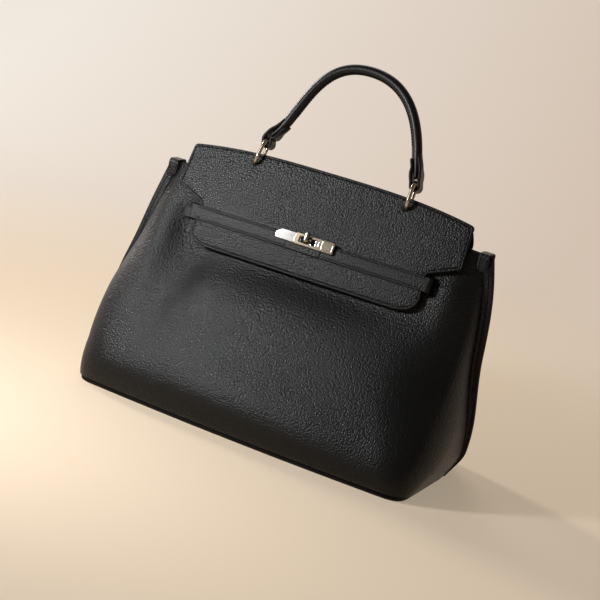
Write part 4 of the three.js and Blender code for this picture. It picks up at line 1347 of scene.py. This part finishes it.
# Stitched borders of the slits on the front panel
def slitRuns():
    form = slitForm
    outer, inner = strapForm["slit"] + form["stitchOut"], strapForm["slit"] - form["stitchIn"]
    low, high = (onFlap(0, 0, strapAlong + sign * form["stitchHalf"])[2] for sign in (-1, 1))
    corners = [(inner, high), (outer - 1, high), (outer, high - 1), (outer, low + 1), (outer - 1, low),
               (inner, low)]
    runs = []
    for side in (-1, 1):
        spots = [onFront(side * x, z) for x, z in resample(corners, 1.0)]
        runs.append(([place for place, facing in spots], np.array([facing for place, facing in spots])))
    return runs


tabRuns = makeTab(-1, "left") + makeTab(1, "right")
carry(stitchPiece("bag_stitches", seamRuns() + tabRuns + slitRuns()), "bag", "black_leather")
print("seams and tabs made")

# Inside: lining, mouth facings, patch pocket, sewn tails of the straps
liningForm = {
    "inset": 5.6, "seamInset": 14.6, "foot": 7.1, "rim": 190.5, "rows": 30, "thickness": 0.9, "edge": 0.4,
    "floor": (0.97, 0.9, 0.75, 0.5, 0.25), "fold": 0.35, "foldLow": (12, 40), "foldHigh": (150, 185),
}


def makeLining():
    form = liningForm
    heights = np.linspace(form["foot"], form["rim"], form["rows"])
    rows = stacked(heights, lambda height: planLoop(height, form["inset"], form["seamInset"]))
    columns = len(rows[0])
    points = np.vstack(rows)
    x, z = points[:, 0], points[:, 2]
    hollow = np.minimum(softness(x, z, frontDents), 0)
    points[:, 1] -= np.where(points[:, 1] < 0, hollow, 0)
    folds = form["fold"] * np.sin(x / 17.0 + z / 29.0) * blendStep(z, *form["foldLow"])
    points[:, 1] += folds * (1 - blendStep(z, *form["foldHigh"]))
    inner = [rows[0] * np.array([share, share, 1]) for share in form["floor"]]
    points = np.vstack([points, *inner, [[0, 0, form["foot"]]]])
    faces = gridFaces(len(rows), columns, True)
    stack = [0] + [(len(rows) + step) * columns for step in range(len(inner))]
    centre = len(points) - 1
    afters = [*range(1, columns), 0]
    for first, second in zip(stack, stack[1:]):
        faces += [(first + after, second + after, second + column, first + column)
                  for column, after in enumerate(afters)]
    faces += [(centre, stack[-1] + column, stack[-1] + after) for column, after in enumerate(afters)]
    piece = sheetPiece("lining_cloth", points, faces, form["thickness"], form["edge"], [liningTwill])
    carry(piece, "bag", "lining_cloth", "lining_bag")


makeLining()

facingForm = {"low": 191.8, "high": 217.2, "half": 117.2, "inset": 2.9, "thickness": 1.1, "rim": 0.5,
              "stitches": (194.2, 214.6), "stitchHalf": 114, "proud": 0.6}
pocketForm = {"low": 76.6, "high": 155.4, "half": 74.2, "inset": 7.4, "thickness": 0.9, "rim": 0.4,
              "hem": 4, "hemSide": 2, "proud": 0.5}


# A level line inside the front or the back
def insideLine(side, height, half, insetBy, count):
    return [(x, side * -(halfDepth(height) - insetBy), height) for x in np.linspace(-half, half, count)]


def insideBand(name, side, form, materials):
    points = [insideLine(side, height, form["half"], form["inset"], 40)
              for height in np.linspace(form["low"], form["high"], 14)]
    faces = flipped(gridFaces(14, 40), side < 0)
    return sheetPiece(name, np.vstack(points), faces, form["thickness"], form["rim"], materials)


def makeInside():
    form = facingForm
    runs = []
    for side, word in ((1, "front"), (-1, "back")):
        piece = insideBand(f"{word}_facing_leather", side, form, edgedBelt)
        carry(piece, "bag", "black_leather", f"{word}_facing")
        for height in form["stitches"]:
            run = insideLine(side, height, form["stitchHalf"], form["inset"] + form["proud"], 60)
            runs.append(facingRun(run, (0, side, 0)))
    form = pocketForm
    carry(insideBand("pocket_cloth", -1, form, [liningTwill]), "bag", "lining_cloth", "inner_pocket")
    level = form["inset"] + form["proud"]
    hem = insideLine(-1, form["high"] - form["hem"], form["half"] - form["hemSide"], level, 50)
    runs.append(facingRun(hem, (0, -1, 0)))
    carry(stitchPiece("inside_stitches", runs), "bag", "lining_cloth")


makeInside()

tailForm = {"path": [(125.7, -6.6), (125.7, -10.2), (125.9, -10.0), (130.4, -10.0)], "end": (136.0, -10.0),
            "half": 6.3, "thickness": 1.3, "rim": 0.5}


def makeTail(side, word):
    form = tailForm
    path = np.vstack([bezier(form["path"], 10), [form["end"]]])
    spread = np.linspace(-form["half"], form["half"], 7)
    points = np.array([onFlap(side * x, out, strapAlong + across) for x, out in path for across in spread])
    faces = gridFaces(len(path), len(spread))
    piece = sheetPiece(f"tail_{word}_leather", points, faces, form["thickness"], form["rim"], edgedBelt)
    carry(piece, "bag", "black_leather", f"strap_tail_{word}")


for sideSign, sideWord in bothSides:
    makeTail(sideSign, sideWord)
print("inside made")

# CAD nodes that keep their own shape: softened edges and a better finish
keptNodes = {
    "lock_base": (paleGold, 0.15), "lock_backing": (palladium, 0.15),
    "lock_screw_left": (palladium, 0.12), "lock_screw_right": (palladium, 0.12),
    "strap_rivet_left_1": (paleGold, 0.1), "strap_rivet_left_2": (paleGold, 0.1),
    "strap_rivet_right_1": (paleGold, 0.1), "strap_rivet_right_2": (paleGold, 0.1),
}
sharpAngle = math.radians(40)
for nodeName, (nodeFinish, nodeBevel) in keptNodes.items():
    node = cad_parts[nodeName]
    node.data.materials.clear()
    node.data.materials.append(nodeFinish)
    bevel = node.modifiers.new("softened", "BEVEL")
    bevel.width = nodeBevel * mm
    bevel.segments = 2
    bevel.limit_method = "ANGLE"
    bevel.angle_limit = sharpAngle
print("kept CAD nodes finished")

# Floor, backdrop and light; sizes in metres
stageForm = {
    "floor": (0.80, 0.66, 0.50), "leftWallPaintedLight": (0.90, 0.83, 0.75), "rightWallPaintedShade": (0.68, 0.56, 0.46),
    "back": 0.9, "turn": 1.3, "reach": 30.0, "half": 40, "height": 6.0, "floorTone": 0.40, "wallTone": 0.90,
    "mottle": 9.0, "across": (0.80, 1.04, 0.02), "away": (1.6, -0.7, 0.03),
}


# Paper that keeps its pale tone for the camera and takes the shadows of the lamps
def stageFinish():
    form = stageForm
    finish = Finish("studio_paper")
    distance = finish.node("ShaderNodeVectorMath", {"operation": "LENGTH"}, {0: finish.place}, "Value")
    mottle = finish.noise(finish.place, form["mottle"], 3.0)
    # the wall's colour fades from light on the left to dark on the right: painted light falloff, as from a
    # lamp on the left
    paintedFalloff, faraway = (
        finish.ramp(value * scale + start + mottle * share)
        for value, (scale, start, share) in ((finish.part(finish.place, "X"), form["across"]),
                                             (distance, form["away"])))
    wall = finish.between(paintedFalloff, form["leftWallPaintedLight"], form["rightWallPaintedShade"])
    colour = finish.between(faraway, form["floor"], wall)
    lit = finish.node("ShaderNodeBsdfDiffuse", None, {"Color": colour})
    plain = finish.node("ShaderNodeEmission", None, {"Color": colour, "Strength": 1.0})
    camera, glossy, through = (finish.node("ShaderNodeLightPath", output=f"Is {ray} Ray")
                               for ray in ("Camera", "Glossy", "Transmission"))
    tone = form["floorTone"] + faraway * (form["wallTone"] - form["floorTone"])
    factor = (camera + glossy + through) * tone
    return finish.ending(finish.node("ShaderNodeMixShader", None, {0: factor, 1: lit, 2: plain}))


def makeStage():
    form = stageForm
    turn = [(form["back"] + form["turn"] * math.sin(angle), form["turn"] * (1 - math.cos(angle)))
            for angle in np.linspace(0, math.pi / 2, 24)]
    profile = [(-form["reach"], 0.0), *turn, (turn[-1][0], form["height"])]
    across = np.linspace(-form["half"], form["half"], 5)
    points = np.array([(x, y, z) for y, z in profile for x in across]) / mm
    sweep = newObject("studio_sweep", points, gridFaces(len(profile), len(across)), [stageFinish()])


makeStage()

lampForm = [
    {"name": "key_lamp", "place": (-0.34, -0.43, 0.38), "aim": (-0.02, -0.02, 0.17), "size": 0.10,
     "power": 3.5, "colour": (0.96, 0.98, 1.0)},
    {"name": "front_lamp", "place": (-0.62, -0.95, 0.75), "aim": (0.0, 0.0, 0.12), "size": 0.25,
     "power": 0.8, "colour": (1.0, 0.99, 0.97)},
    {"name": "rim_softbox", "place": (-0.55, 0.85, 1.15), "aim": (0.0, 0.0, 0.25), "size": 0.8,
     "power": 6.0, "colour": (1.0, 0.97, 0.94)},
    {"name": "side_lamp", "place": (-1.95, 0.56, 1.00), "aim": (0.1, 0.0, 0.05), "size": 0.34,
     "power": 32.0, "colour": (1.0, 0.96, 0.90)},
]
airForm = {"colour": (1.0, 0.94, 0.87), "strength": 0.13}


def makeLamps():
    for form in lampForm:
        data = bpy.data.lights.new(form["name"], "AREA")
        data.shape = "DISK"
        data.energy = form["power"]
        data.size = form["size"]
        data.color = form["colour"]
        lamp = addObject(form["name"], data)
        lamp.location = form["place"]
        lamp.rotation_euler = (Vector(form["aim"]) - lamp.location).to_track_quat("-Z", "Y").to_euler()
    world = bpy.data.worlds.new("studio_air")
    scene.world = world
    world.use_nodes = True
    air = world.node_tree.nodes["Background"]
    air.inputs["Color"].default_value = (*airForm["colour"], 1)
    air.inputs["Strength"].default_value = airForm["strength"]


makeLamps()
print("stage and light made")
